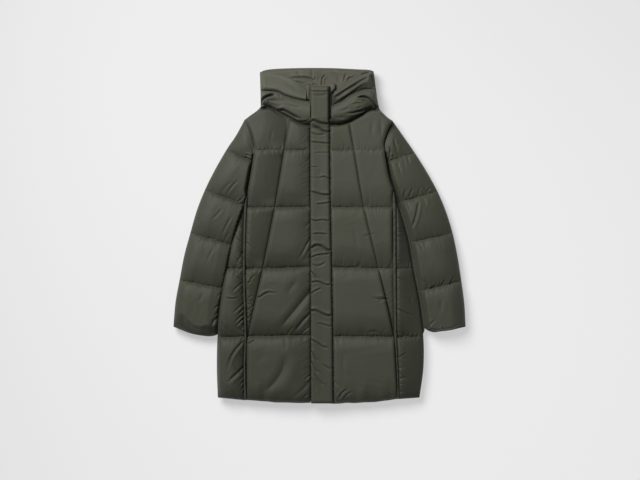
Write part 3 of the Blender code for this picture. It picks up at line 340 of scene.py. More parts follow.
# Creases of each piece: depth, half width, how much of it fades at its start and its end, then its corners
# in plan, x and y in turn. Lengths are in tenths of a millimetre. One below zero stands out as a ridge.
TENTHS = 10000.0
CREASES = {
    "front_centre_right": [
        (30, 30, 0, 0.6, -294, -105, -501, -495, -690, -795),
        (15, 25, 0, 0.8, -294, -405, -471, -735),
        (12, 25, 0, 0.8, -294, 405, -501, 135),
        (62, 85, 0, 0.35, -282, -1680, -711, -2205, -1011, -2565, -1236, -2865),
        (42, 36, 0, 0.35, -291, -2325, -561, -2625, -756, -2895),
        (22, 18, 0.4, 0.3, -741, -2670, -861, -2805, -996, -2970),
        (18, 18, 0, 0.5, -291, -2715, -471, -2865, -621, -3015),
        (38, 24, 0, 0.5, -1885, -1860, -1761, -1830, -1641, -1743, -1521, -1704, -1251, -1734),
        (20, 70, 0.5, 0.5, -591, -1215, -831, -1545, -1011, -1845),
        (48, 100, 0.25, 0.3, -1041, -3525, -1089, -3975, -1326, -4365, -1731, -4755),
        (12, 100, 0.4, 0.5, -1626, -3465, -1761, -3675, -1881, -3855),
        (16, 40, 0, 0.6, -1041, -3075, -999, -3495),
        (30, 20, 0, 0.4, -2121, -3231, -2016, -3165, -1881, -3075),
        (24, 22, 0, 0.5, -282, -4164, -471, -4335),
        (18, 20, 0.3, 0.4, -351, -4719, -501, -4854),
        (20, 45, 0, 0.6, -306, -4365, -591, -4665, -891, -4875),
        (12, 50, 0.4, 0.5, -1191, 1665, -1431, 1185),
        (12, 20, 0, 0.5, -291, 2325, -411, 2175),
    ],
    "side_panel_right": [
        (34, 24, 0, 0.5, -2274, -1380, -2451, -1530, -2631, -1710),
        (29, 20, 0.3, 0.3, -2817, -1851, -2631, -1887, -2406, -1863),
        (26, 18, 0, 0.5, -2280, -1650, -2355, -1845),
        (34, 22, 0, 0.5, -2274, -2025, -2451, -2190, -2607, -2343),
        (31, 20, 0, 0.5, -2259, -2175, -2451, -2385),
        (39, 22, 0, 0.5, -2247, -2331, -2406, -2460, -2553, -2637),
        (39, 22, 0, 0.5, -2247, -2475, -2391, -2595, -2511, -2745),
        (23, 18, 0, 0.5, -2247, -2685, -2361, -2835),
        (31, 20, 0, 0.5, -2247, -3033, -2403, -3189),
        (44, 32, 0, 0.45, -2289, -3165, -2511, -3420, -2661, -3675, -2751, -4065),
        (47, 36, 0, 0.4, -2265, -3930, -2451, -4110, -2601, -4245, -2751, -4410),
        (26, 19, 0, 0.5, -2247, -4155, -2406, -4350),
        (29, 19, 0, 0.5, -2247, -4305, -2385, -4485),
        (29, 19, 0, 0.5, -2247, -4473, -2367, -4653),
        (26, 19, 0, 0.5, -2247, -4644, -2319, -4815),
        (26, 30, 0, 0.5, -2295, -495, -2391, -690, -2511, -855),
        (23, 24, 0, 0.5, -2295, -915, -2451, -1095, -2601, -1215),
        (21, 20, 0, 0.6, -2295, -675, -2376, -825),
        (21, 30, 0.4, 0.4, -2931, -2535, -2871, -2805),
    ],
    "front_side_right": [
        (18, 18, 0, 0.5, -2130, -1419, -2001, -1353),
        (22, 20, 0, 0.5, -2115, -1407, -2013, -1257, -1881, -1143),
        (18, 18, 0, 0.5, -2124, -1863, -2007, -1779),
        (20, 18, 0, 0.5, -2121, -2205, -1959, -2085),
        (16, 18, 0, 0.5, -2133, -2037, -2043, -2133),
        (16, 18, 0, 0.5, -2133, -2475, -2031, -2355),
        (10, 40, 0.4, 0.6, -1401, 3195, -1491, 2685),
        (9, 32, 0.5, 0.6, -1971, 2505, -1926, 2175),
    ],
    "front_centre_left": [
        (14, 32, 0.6, 0.2, 1270, -30, 1400, -10, 1500, -20),
        (46, 28, 0.8, 0, 1520, -1840, 1740, -1890, 1945, -1896),
        (24, 18, 0.4, 0.1, 1730, -1800, 1890, -1865),
        (20, 18, 0.4, 0.1, 1700, -1990, 1900, -1930),
        (30, 22, 0, 0.5, 560, -4840, 700, -4660, 860, -4560),
        (26, 20, 0, 0.5, 700, -4880, 850, -4720, 1000, -4640),
        (20, 20, 0, 0.5, 2150, -4800, 2010, -4680),
        (16, 24, 0, 0.6, 459, -4335, 609, -4515),
        (14, 24, 0, 0.6, 459, -4575, 579, -4755),
        (10, 50, 0.5, 0.5, 729, -3405, 699, -3915, 819, -4335),
        (8, 50, 0.5, 0.5, 969, 405, 1089, -135, 1149, -615),
        (16, 30, 0.5, 0.4, 1359, -2940, 1569, -2865, 1779, -2925),
    ],
    "front_side_left": [
        (26, 20, 0, 0.5, 1965, -1896, 2060, -1925),
        (16, 20, 0, 0.6, 1530, 15, 1620, 50),
        (12, 50, 0.5, 0.5, 1569, 3525, 1554, 2865),
        (12, 50, 0.5, 0.5, 1809, 3675, 1839, 3045, 1899, 2685),
        (9, 40, 0.5, 0.5, 2139, 2835, 2199, 2325),
    ],
    "side_panel_left": [
        (22, 22, 0, 0.5, 2310, -1263, 2439, -1317, 2571, -1413),
        (28, 24, 0, 0.45, 2331, -2205, 2499, -2283, 2649, -2355, 2799, -2457),
        (22, 22, 0, 0.5, 2337, -3135, 2499, -3273),
        (18, 20, 0, 0.5, 2343, -3645, 2499, -3549, 2619, -3495),
        (22, 24, 0, 0.5, 2343, -4065, 2469, -4173, 2637, -4347),
        (12, 30, 0.4, 0.4, 2679, -1815, 2769, -2085),
        (16, 18, 0, 0.5, 2331, -2865, 2439, -2955),
    ],
    "sleeve_right": [
        (26, 26, 0.3, 0.5, -2406, 1669, -2570, 1505, -2720, 1311, -2809, 1117),
        (14, 34, 0.3, 0.5, -2645, 1624, -2854, 1386, -3003, 1177),
        (16, 30, 0.3, 0.5, -2884, 819, -3077, 596, -3271, 417),
        (26, 26, 0.25, 0.5, -2615, 596, -2749, 357, -2854, 133, -2958, -105),
        (20, 32, 0.2, 0.5, -2332, 581, -2466, 312, -2600, 14),
        (16, 24, 0.2, 0.5, -2690, 104, -2809, -90, -2913, -284),
        (34, 18, 0, 0.4, -2213, 2325, -2078, 2268, -1983, 2227),
        (28, 16, 0, 0.4, -2183, 2412, -1995, 2334),
        (26, 16, 0.1, 0.4, -2063, 2698, -2001, 2549, -2007, 2370),
        (32, 18, 0, 0.5, -2263, 1177, -2377, 1046, -2511, 1010),
        (26, 16, 0, 0.5, -2272, 953, -2436, 939, -2585, 864),
        (14, 30, 0.3, 0.5, -3152, -344, -3301, -642, -3390, -880),
        (34, 26, 0, 0.4, -2979, -2264, -3074, -2330, -3164, -2431),
        (55, 42, 0, 0.35, -2991, -2416, -3128, -2521, -3235, -2729),
        (32, 22, 0, 0.4, -2973, -2073, -3068, -2118, -3152, -2222),
        (28, 24, 0, 0.5, -2991, -2670, -3104, -2819),
        (20, 30, 0.3, 0.5, -3599, 581, -3647, 282),
        (16, 50, 0.4, 0.4, -3480, -1656, -3569, -2014),
        (22, 26, 0, 0.6, -2928, -1686, -3092, -1894),
        (20, 20, 0, 0.6, -2779, -1089, -2928, -1253),
        (26, 18, 0, 0.5, -2842, -1462, -2988, -1584),
    ],
    "sleeve_left": [
        (18, 24, 0.1, 0.4, 2499, 1103, 2529, 1252, 2588, 1401),
        (22, 24, 0.1, 0.4, 2678, 1147, 2723, 1281, 2797, 1431),
        (11, 24, 0.1, 0.4, 2946, 1222, 2976, 1356, 3036, 1490),
        (24, 18, 0.1, 0.4, 3230, 1341, 3304, 1445),
        (34, 30, 0.4, 0.3, 2200, 2950, 2262, 2700, 2360, 2474),
        (40, 22, 0.3, 0.2, 2090, 2700, 2112, 2489, 2055, 2236),
        (26, 16, 0.3, 0.3, 1985, 2640, 1975, 2450, 2020, 2260),
        (24, 20, 0.1, 0.4, 1989, 2203, 2126, 2340, 2257, 2412),
        (12, 34, 0.1, 0.5, 2615, 2380, 2665, 2221, 2690, 2080),
        (14, 30, 0.2, 0.5, 2275, 2221, 2395, 1952, 2439, 1714),
        (10, 40, 0.2, 0.5, 2900, 2380, 3021, 2161, 3060, 1960),
        (44, 28, 0.1, 0.3, 2950, 1000, 2900, 720, 2830, 450, 2725, 160),
        (14, 40, 0.1, 0.5, 2610, 1020, 2660, 800, 2655, 640),
        (12, 34, 0.2, 0.5, 3095, 1132, 3150, 960, 3160, 800),
        (14, 20, 0, 0.5, 3426, 1252, 3520, 1090),
        (20, 18, 0, 0.5, 3587, 1326, 3677, 1147),
        (22, 26, 0.1, 0.5, 2979, -239, 3110, -508),
        (20, 24, 0.1, 0.5, 2738, -299, 2842, -552),
        (24, 30, 0, 0.5, 2812, -1089, 3021, -1328, 3200, -1432),
        (26, 18, 0, 0.5, 3901, -1447, 3990, -1253, 4065, -1149),
        (20, 16, 0, 0.5, 3647, -1462, 3751, -1298),
        (26, 20, 0, 0.5, 3349, -1566, 3483, -1447),
        (26, 24, 0, 0.5, 3155, -2819, 3319, -2625, 3498, -2476),
        (20, 20, 0, 0.5, 3617, -2849, 3707, -2670),
        (18, 40, 0.3, 0.5, 3587, -1924, 3647, -2282),
        (20, 34, 0, 0.6, 2916, -1656, 3051, -1894, 3095, -2133),
    ],
    "placket": [
        (22, 15, 0, 0, -282, 4293, -3, 4281, 297, 4293),
        (15, 30, 0.3, 0.3, -261, 4185, 9, 4155, 279, 4203),
        (62, 27, 0, 0.1, -282, 3387, -171, 3417, -3, 3345, 297, 3303),
        (57, 25, 0.25, 0, -243, 3255, -51, 3201, 99, 3117, 297, 3075),
        (24, 23, 0.1, 0.2, -282, 3057, -51, 2997, 189, 3027),
        (30, 21, 0.1, 0.1, -279, 2781, -21, 2763, 303, 2733),
        (12, 21, 0.3, 0.1, -231, 2427, 9, 2463, 303, 2451),
        (18, 16, 0.1, 0.3, -250, 2045, -150, 2040, -40, 2025),
        (30, 19, 0.3, 0, -21, 1713, 129, 1743, 303, 1665),
        (8, 22, 0, 0.3, -279, 1725, -111, 1701, 69, 1725),
        (49, 23, 0.1, 0, -279, 1305, -111, 1263, 69, 1215, 303, 1209),
        (32, 19, 0.3, 0, -150, 927, 50, 939, 303, 975),
        (32, 21, 0, 0.1, -276, 465, -111, 429, 69, 453, 309, 423),
        (30, 21, 0.2, 0.2, -231, 39, 9, 51, 249, 15),
        (65, 29, 0.1, 0.05, -273, -417, -141, -309, 39, -315, 189, -417, 327, -465),
        (35, 21, 0, 0.1, -273, -675, -81, -597, 129, -567, 327, -543),
        (22, 25, 0.2, 0.2, -249, -855, -51, -915, 189, -813),
        (32, 21, 0, 0.4, -267, -1083, -171, -1173, -63, -1335),
        (35, 23, 0.1, 0.1, -261, -1413, -51, -1383, 159, -1473, 339, -1485),
        (30, 21, 0, 0.3, -261, -1755, -111, -1647, 69, -1587),
        (54, 27, 0, 0.05, -261, -2265, -141, -2241, 9, -2307, 189, -2385, 351, -2403),
        (27, 21, 0.3, 0.1, -111, -2607, 129, -2667, 351, -2733),
        (35, 25, 0, 0.2, -255, -3123, -111, -3195, 69, -3309, 249, -3375),
        (35, 23, 0, 0.4, -255, -3465, -141, -3633, -51, -3795),
        (32, 25, 0, 0.4, -255, -3783, -141, -3975, 9, -4155),
        (27, 29, 0.2, 0.3, -183, -4095, -21, -4335, 159, -4515),
        (18, 26, 0, 0.5, -249, -4275, -141, -4515, -81, -4695),
        (19, 29, 0.4, 0.2, 39, -3795, 219, -3945, 381, -4005),
    ],
    "hood_side_right": [
        (14, 30, 0.2, 0.3, -1712, 4815, -1709, 4577, -1703, 4338),
        (18, 70, 0.4, 0.4, -1094, 4606, -826, 4457, -587, 4278),
        (12, 50, 0.3, 0.4, -1303, 4457, -1005, 4338, -707, 4219),
    ],
    "hood_side_left": [
        (80, 46, 0.15, 0.15, 1515, 4755, 1232, 4597, 984, 4439, 796, 4326, 558, 4168, 397, 4088),
        (-36, 24, 0.25, 0.2, 1396, 4606, 1196, 4481, 957, 4320, 754, 4174, 486, 4031),
        (22, 16, 0.2, 0.2, 1187, 4398, 1038, 4299, 904, 4240),
        (20, 15, 0.2, 0.2, 1276, 4332, 1112, 4255),
        (90, 44, 0.15, 0.1, 1530, 4810, 1575, 4660, 1600, 4517, 1625, 4398),
    ],
    "collar_right": [
        (140, 28, 0.1, 0.25, -1762, 3876, -1721, 4010, -1622, 4102, -1470, 4165, -1303, 4189),
        (120, 30, 0, 0.3, -1765, 3906, -1661, 3906, -1571, 3852),
        (
            110, 24, 0.1, 0.2, -1646, 3897, -1527, 3831, -1393, 3762,
            -1226, 3706, -1130, 3748, -951, 3670, -769, 3566, -558, 3449,
        ),
        (-20, 22, 0.2, 0.3, -1482, 4085, -1243, 4079, -1005, 4010),
        (40, 18, 0.2, 0.3, -1363, 3727, -1184, 3637, -1065, 3592),
        (50, 20, 0.2, 0.1, -1005, 3554, -826, 3443, -617, 3390, -349, 3399),
        (22, 30, 0.3, 0.5, -1601, 4016, -1363, 4004, -1154, 3944),
        (16, 40, 0.3, 0.5, -1035, 3921, -707, 3816, -408, 3801),
        (24, 17, 0.2, 0.4, -1214, 4180, -1154, 4099, -1184, 4040),
    ],
    "collar_left": [
        (150, 28, 0, 0.25, 1756, 3792, 1661, 3849, 1583, 3950, 1437, 4079, 1303, 4123, 1083, 4082),
        (100, 40, 0, 0.3, 1762, 3921, 1724, 3831, 1604, 3816),
        (50, 19, 0.1, 0.2, 710, 4052, 558, 3941, 385, 3840),
        (26, 16, 0.2, 0.3, 1068, 4004, 1202, 4028, 1381, 3992, 1500, 3921),
        (22, 15, 0.2, 0.3, 948, 3891, 1112, 3938, 1291, 3909),
        (24, 14, 0.2, 0.2, 1088, 3792, 1226, 3819),
        (80, 26, 0, 0.4, 1575, 3834, 1381, 3759, 1217, 3706, 963, 3643, 725, 3616),
        (40, 16, 0.2, 0.2, 1279, 3694, 1184, 3688),
        (20, 40, 0.3, 0.3, 784, 3533, 546, 3503, 397, 3533),
        (-16, 26, 0.3, 0.3, 546, 3431, 784, 3449, 963, 3533),
        (16, 30, 0.3, 0.4, 904, 3801, 695, 3727, 486, 3712),
    ],
    "hood_back": [
        (52, 30, 0.5, 0.1, -1005, 4702, -736, 4714, -498, 4720, -319, 4696, -140, 4630),
        (26, 32, 0.3, 0.2, -796, 4621, -617, 4577, -408, 4502),
        (32, 17, 0.1, 0.1, -116, 4976, -128, 4815, -140, 4636),
        (24, 60, 0.1, 0.2, -200, 4994, -206, 4845, -200, 4696),
        (46, 18, 0.2, 0.1, 188, 4821, 98, 4732, 66, 4624, 66, 4463),
        (40, 15, 0.1, 0.1, -325, 4535, -259, 4457),
        (40, 15, 0.1, 0.1, -212, 4571, -128, 4475),
        (34, 15, 0.1, 0.1, -480, 4487, -408, 4478),
        (32, 20, 0.1, 0.2, 796, 4845, 749, 4726, 731, 4621),
        (32, 18, 0.1, 0.2, 844, 4642, 904, 4714, 1023, 4726),
        (40, 28, 0.2, 0.2, 1232, 4827, 1351, 4839, 1500, 4875),
        (18, 50, 0.3, 0.3, 337, 4949, 546, 4770, 605, 4547),
        (16, 60, 0.3, 0.3, -707, 4934, -587, 4815, -528, 4755),
    ],
}


# ---------------------------------------------------------------- measuring
def rise(distance, width):
    """0 at an edge, 1 at the given width from it and beyond, along a quarter ellipse."""
    share = np.clip(np.asarray(distance) / width, 0.0, 1.0)
    return np.sqrt(1.0 - (1.0 - share) ** 2)


def smooth(share):
    share = np.clip(share, 0.0, 1.0)
    return share * share * (3.0 - 2.0 * share)


def mix(a, b, share):
    return a + (b - a) * share


def curve_at(table, where):
    """A smooth curve through a table's rows, read at places along its first column."""
    table = np.asarray(table, float)
    knots, values = table[:, 0], table[:, 1:]
    last = len(knots) - 1
    places = np.clip(np.atleast_1d(np.asarray(where, float)), knots[0], knots[-1])
    low = np.clip(np.searchsorted(knots, places, side="right") - 1, 0, last - 1)
    order = np.arange(last + 1)
    before, after = np.maximum(order - 1, 0), np.minimum(order + 1, last)
    slopes = (values[after] - values[before]) / (knots[after] - knots[before])[:, None]
    step = (knots[low + 1] - knots[low])[:, None]
    t = (places - knots[low])[:, None] / step
    rest = 1.0 - t
    found = (
        values[low] * (1.0 + 2.0 * t) * rest * rest
        + slopes[low] * step * t * rest * rest
        + values[low + 1] * (3.0 - 2.0 * t) * t * t
        - slopes[low + 1] * step * t * t * rest
    )
    return found if values.shape[1] > 1 else found[:, 0]


def path_at(corners, shares):
    """Places in plan at shares of the length of a path of corners."""
    corners = np.asarray(corners, float)
    lengths = np.concatenate([[0.0], np.cumsum(np.linalg.norm(np.diff(corners, axis=0), axis=1))])
    return curve_at(np.column_stack([lengths / lengths[-1], corners]), shares)


def spaced(line, spacing):
    """A line of points, spaced evenly along its length."""
    line = np.asarray(line, float)
    lengths = np.concatenate([[0.0], np.cumsum(np.linalg.norm(np.diff(line, axis=0), axis=1))])
    count = max(int(round(lengths[-1] / spacing)), 1)
    places = np.linspace(0.0, lengths[-1], count + 1)
    return np.column_stack([np.interp(places, lengths, line[:, k]) for k in range(line.shape[1])])


def away_from(points, line):
    """The distance in plan from each point to a line."""
    best = np.full(len(points), 9.0)
    for a, b in zip(line[:-1], line[1:]):
        run = b - a
        share = np.clip((points - a) @ run / max(run @ run, 1e-12), 0.0, 1.0)
        best = np.minimum(best, np.linalg.norm(points - a - share[:, None] * run, axis=1))
    return best


def is_inside(points, outline):
    """Which points lie inside a closed outline."""
    inside = np.zeros(len(points), bool)
    x, y = points[:, 0], points[:, 1]
    for (ax, ay), (bx, by) in zip(outline, np.roll(outline, -1, axis=0)):
        if ay == by:
            continue
        crosses = (ay > y) != (by > y)
        inside ^= crosses & (x < (bx - ax) * (y - ay) / (by - ay) + ax)
    return inside


def body_line(side, name, first, last, count=40):
    """A line of the body between two levels, as points in plan."""
    return curve_at(BODY_LINES[side][name], np.linspace(first, last, count))


def across_body(side, inner, outer, level, count=12):
    """A quilt line across a body piece."""
    a = curve_at(BODY_LINES[side][inner], level)[0]
    b = curve_at(BODY_LINES[side][outer], level)[0]
    return a + (b - a) * np.linspace(0.0, 1.0, count)[:, None]


def neck_line(x_start, x_end, count=20):
    x = np.linspace(x_start, x_end, count)
    return np.column_stack([x, curve_at(NECK_EDGE, x)])


def side_x(side, y):
    """How far out the body reaches at places along its side."""
    line = curve_at(BODY_LINES[side]["side"], np.linspace(1.0, 5.0, 200))
    return np.interp(y, line[::-1, 1], line[::-1, 0])


def sleeve_gap(side, y):
    """The gap in plan between the body and the sleeve at places along the side."""
    places, widths = np.array(SLEEVE_GAP[side]).T
    return np.interp(y, places, widths)


def sleeve_edges(side, level):
    outer_x, outer_y, inner_y = curve_at(SLEEVE_ROWS[side], level)[0]
    inner_x = side_x(side, inner_y) + SIGN[side] * sleeve_gap(side, inner_y)
    return np.array([inner_x, inner_y]), np.array([outer_x, outer_y])


def sleeve_line(side, level, first=0.0, last=1.0, count=25):
    """A line across a sleeve from its inner to its outer edge."""
    shares = np.linspace(first, last, count)[:, None]
    inner, outer = sleeve_edges(side, level)
    points = inner + (outer - inner) * shares
    if level < 1.0:
        first_inner, first_outer = sleeve_edges(side, 0.0)
        seam = curve_at(BODY_LINES[side]["side"], ARMHOLE_DEPTH * (1.0 - shares[:, 0]))
        seam += np.array([SIGN[side], 0.3]) * SLEEVE_GAP[side][-1][1]
        points = points + (seam - first_inner - (first_outer - first_inner) * shares) * (1.0 - level) ** 1.4
    if level > 4.0:
        last_inner, last_outer = sleeve_edges(side, 5.0)
        bent = path_at([last_inner, *CUFF_BENDS[side], last_outer], shares[:, 0])
        straight = last_inner + (last_outer - last_inner) * shares
        points = points + (bent - straight) * (level - 4.0) ** 1.6
    return points


def sleeve_edge(side, share, first=0.0, last=5.0, count=60):
    levels = np.linspace(first, last, count)
    return np.array([sleeve_line(side, level, share, share, 1)[0] for level in levels])


# ---------------------------------------------------------------- cutting
# Shares of the spacing: how near an outline point a sewn line's end joins it; the places beside each line and
# how far from it they lie; and how near to a line a point may be, beside it and elsewhere.
JOINING = 0.8
BESIDE_STEP = 0.85
BESIDE_AWAY = 0.42
BESIDE_LEAST = 0.36
ELSEWHERE_LEAST = 0.82


def cut_cloth(outline, sewn, spacing):
    """Fills a closed outline with even triangles that keep its sewn lines. Gives points and faces."""
    points = [np.asarray(outline, float)]
    edges = []
    count = len(outline)
    for line in sewn:
        line = spaced(line, spacing)
        joined = []
        for end in (0, -1):
            near = int(np.argmin(np.linalg.norm(points[0] - line[end], axis=1)))
            close = np.linalg.norm(points[0][near] - line[end]) < JOINING * spacing
            if close:
                points[0][near] = line[end]
            joined.append(near if close else None)
        inner = line[(1 if joined[0] is not None else 0):(-1 if joined[1] is not None else len(line))]
        numbers = list(range(count, count + len(inner)))
        count += len(inner)
        points.append(inner)
        chain = ([joined[0]] if joined[0] is not None else []) + numbers
        chain += [joined[1]] if joined[1] is not None else []
        edges += list(zip(chain[:-1], chain[1:]))
    held = np.vstack(points)
    lines = [np.vstack([points[0], points[0][:1]])] + [np.asarray(line, float) for line in sewn]
    rows = []
    for line in lines:
        even = spaced(line, BESIDE_STEP * spacing)
        middles = (even[:-1] + even[1:]) / 2.0
        runs = even[1:] - even[:-1]
        across = np.column_stack([-runs[:, 1], runs[:, 0]]) / np.linalg.norm(runs, axis=1)[:, None]
        rows += [middles + across * BESIDE_AWAY * spacing, middles - across * BESIDE_AWAY * spacing]
    beside = np.vstack(rows)
    low, high = held.min(axis=0), held.max(axis=0)
    row_step = spacing * math.sqrt(3.0) / 2.0
    grid = [
        (low[0] + spacing * (column + 0.5 * (row % 2)), low[1] + row_step * row)
        for row in range(int((high[1] - low[1]) / row_step) + 2)
        for column in range(int((high[0] - low[0]) / spacing) + 2)
    ]
    grid = np.array(grid)
    keep = []
    for candidates, least in ((beside, BESIDE_LEAST * spacing), (grid, ELSEWHERE_LEAST * spacing)):
        candidates = candidates[is_inside(candidates, points[0])]
        clear = np.full(len(candidates), 9.0)
        for line in lines:
            clear = np.minimum(clear, away_from(candidates, line))
        keep.append(candidates[clear > least])
    cloud = np.vstack([held, *keep])
    loop = list(range(len(points[0])))
    result = delaunay_2d_cdt([Vector(p) for p in cloud], edges, [loop], 1, 1e-5, False)
    flat = np.array([tuple(p) for p in result[0]])
    faces = np.array([tuple(face) for face in result[2]])
    return flat, faces[is_inside(flat[faces].mean(axis=1), points[0])]


def make_mesh(name, points, faces):
    mesh = bpy.data.meshes.new(name)
    mesh.from_pydata([tuple(p) for p in points], [], [tuple(int(i) for i in face) for face in faces])
    mesh.update()
    return mesh


def points_of(mesh):
    flat = np.empty(len(mesh.vertices) * 3)
    mesh.vertices.foreach_get("co", flat)
    return flat.reshape(-1, 3)


def set_points(mesh, points):
    mesh.vertices.foreach_set("co", np.asarray(points, float).ravel())
    mesh.update()


def corners_of(mesh):
    """The three corners of each face of a mesh of triangles."""
    flat = np.empty(len(mesh.polygons) * 3, int)
    mesh.loops.foreach_get("vertex_index", flat)
    return flat.reshape(-1, 3)


def subdivide(points, faces, on_line):
    """One smooth subdivision of triangles. The edge and the sewn lines are smoothed along themselves only."""
    count = len(points)
    sides = np.sort(np.vstack([faces[:, [0, 1]], faces[:, [1, 2]], faces[:, [2, 0]]]), axis=1)
    edges, which, uses = np.unique(sides, axis=0, return_inverse=True, return_counts=True)
    which = which.ravel()
    across = np.zeros((len(edges), 3))
    np.add.at(across, which, points[np.concatenate([faces[:, 2], faces[:, 0], faces[:, 1]])])
    a, b = edges[:, 0], edges[:, 1]
    firm = (uses == 1) | (on_line[a] & on_line[b])
    ends = points[a] + points[b]
    middles = np.where(firm[:, None], ends / 2.0, 0.375 * ends + 0.125 * across)
    around, beside = np.zeros((count, 3)), np.zeros((count, 3))
    links = np.bincount(edges.ravel(), minlength=count)
    firm_links = np.bincount(edges[firm].ravel(), minlength=count)
    np.add.at(around, a, points[b])
    np.add.at(around, b, points[a])
    np.add.at(beside, a[firm], points[b[firm]])
    np.add.at(beside, b[firm], points[a[firm]])
    pull = (3.0 / (8.0 * np.maximum(links, 3)))[:, None]
    smoothed = points * (1.0 - links[:, None] * pull) + around * pull
    along = 0.75 * points + 0.125 * beside
    moved = np.where((firm_links == 2)[:, None], along, points)
    moved = np.where((firm_links == 0)[:, None], smoothed, moved)
    m = count + which.reshape(3, -1)
    p = faces.T
    finer = [(p[0], m[0], m[2]), (m[0], p[1], m[1]), (m[2], m[1], p[2]), (m[0], m[1], m[2])]
    return np.vstack([moved, middles]), np.hstack([np.array(part) for part in finer]).T


# ---------------------------------------------------------------- puffing
PUFF_FRAMES = 20
MOST_MOVEMENT = 0.005
FREE_FROM = 0.045
FIRM_WIDTH = 0.022
ON_LINE = 0.0006
LEAST_THICKNESS = 0.0004
FILLING = {
    "quality": 5,
    "mass": 0.15,
    "tension_stiffness": 15.0,
    "compression_stiffness": 15.0,
    "shear_stiffness": 5.0,
    "bending_stiffness": 0.4,
    "vertex_group_mass": "sewn",
    "use_pressure": True,
    "vertex_group_shrink": "firm",
}

# Gathers beside sewn lines: the height and reach of the folds, and how much longer they are on sleeves and
# along leaning lines; the pitch and reach of the small waves; the pitch and sharpness of the folds, and how
# their length and strength change along a line; how much they lean and how slowly that changes; and the
# length over which they fade at a line's ends.
GATHER_HEIGHT = 0.0027
GATHER_REACH = 0.0062
LONGER_GATHERS = 1.5
GATHER_MARGIN = 0.045
SMALL_WAVES = 0.0050
SMALL_WAVE_REACH = 0.0035
FOLD_PITCH = 0.0105
FOLD_SHARPNESS = 0.32
FOLD_LEAST_LENGTH = 0.35
FOLD_LENGTH_PITCH = 0.013
PATCH_MIDDLE = 0.60
PATCH_SPREAD = 0.40
PATCH_PITCH = 0.045
LEANING = 0.40
LEANING_PITCH = 0.050
GATHER_END_WIDTH = 0.007


class Piece:
    """One padded piece: its outline and sewn lines in plan, the height of its face, and its bed."""

    def __init__(
        self, name, edges, sewn, height, bed,
        spacing=0.0034, slack=0.035, pressure=1.2, liveliness=0.24, gathered=None,
    ):
        self.name = name
        self.liveliness = liveliness
        self.gathered = [(line, 1.0, 0.0) for line in sewn] if gathered is None else gathered
        self.outline = np.vstack([spaced(edge, spacing)[:-1] for edge in edges])
        self.sewn = sewn
        self.height = height
        self.bed = bed
        self.slack = slack
        self.pressure = pressure
        flat, faces = cut_cloth(self.outline, sewn, spacing)
        z = height(flat)
        self.mesh = make_mesh(name, np.column_stack([flat, z]), faces)
        self.object = bpy.data.objects.new(name, self.mesh)
        bpy.context.scene.collection.objects.link(self.object)
        closed = np.vstack([self.outline, self.outline[:1]])
        away = away_from(flat, closed)
        for line in sewn:
            away = np.minimum(away, away_from(flat, np.asarray(line)))
        self.away = away

    def stuff(self):
        """Adds the cloth that puffs the piece up."""
        held = self.object.vertex_groups.new(name="sewn")
        held.add([int(i) for i in np.flatnonzero(self.away < ON_LINE)], 1.0, "REPLACE")
        firm = self.object.vertex_groups.new(name="firm")
        for i, share in enumerate(smooth(self.away / FIRM_WIDTH)):
            firm.add([i], float(share), "REPLACE")
        cloth = self.object.modifiers.new("filling", "CLOTH")
        settings = cloth.settings
        for setting, value in FILLING.items():
            setattr(settings, setting, value)
        settings.uniform_pressure_force = self.pressure
        settings.shrink_min = -self.slack
        settings.shrink_max = -0.1 * self.slack
        settings.effector_weights.gravity = 0.0
        cloth.collision_settings.use_collision = False
        cloth.collision_settings.use_self_collision = False
        cloth.point_cache.frame_start = 1
        cloth.point_cache.frame_end = PUFF_FRAMES

    def settle(self, depsgraph):
        """Keeps the puffed shape, with each point near where it began."""
        start = points_of(self.mesh)
        puffed = points_of(self.object.evaluated_get(depsgraph).data)
        moved = np.nan_to_num(puffed - start)
        length = np.linalg.norm(moved, axis=1)
        inward = smooth(self.away / FREE_FROM)
        moved *= (self.liveliness * inward / np.sqrt(1.0 + (length / MOST_MOVEMENT) ** 2))[:, None]
        self.object.modifiers.clear()
        set_points(self.mesh, start + moved)

    def refine(self):
        """One subdivision of the face, in which the sewn lines stay sharp."""
        points, faces = subdivide(points_of(self.mesh), corners_of(self.mesh), self.away < ON_LINE)
        coarse = self.mesh
        self.mesh = make_mesh(self.name, points, faces)
        self.object.data = self.mesh
        bpy.data.meshes.remove(coarse)

    def crease(self, creases):
        """Presses in the listed creases, and gathers the cloth beside the sewn lines."""
        points = points_of(self.mesh)
        points[:, 2] += crease_depth(points[:, :2], creases)
        for number, (line, strength, lean) in enumerate(self.gathered):
            seed = sum(map(ord, self.name)) + 7 * number
            close = near_line(points, line, GATHER_MARGIN)
            reach = GATHER_REACH * (LONGER_GATHERS if "sleeve" in self.name or lean else 1.0)
            points[close, 2] += strength * GATHER_HEIGHT * gathers(points[close, :2], line, seed, reach, lean)
        points[:, 2] = np.maximum(points[:, 2], self.bed + LEAST_THICKNESS)
        set_points(self.mesh, points)

    def close(self):
        """Carries the edge down to the bed and closes the underside."""
        builder = bmesh.new()
        builder.from_mesh(self.mesh)
        rim = [edge for edge in builder.edges if edge.is_boundary]
        made = bmesh.ops.extrude_edge_only(builder, edges=rim)["geom"]
        for corner in made:
            if isinstance(corner, bmesh.types.BMVert):
                corner.co.z = self.bed
        bmesh.ops.contextual_create(builder, geom=[e for e in made if isinstance(e, bmesh.types.BMEdge)])
        bmesh.ops.recalc_face_normals(builder, faces=builder.faces)
        builder.to_mesh(self.mesh)
        builder.free()
        self.mesh.shade_smooth()
        self.mesh.set_sharp_from_angle(angle=math.radians(55.0))


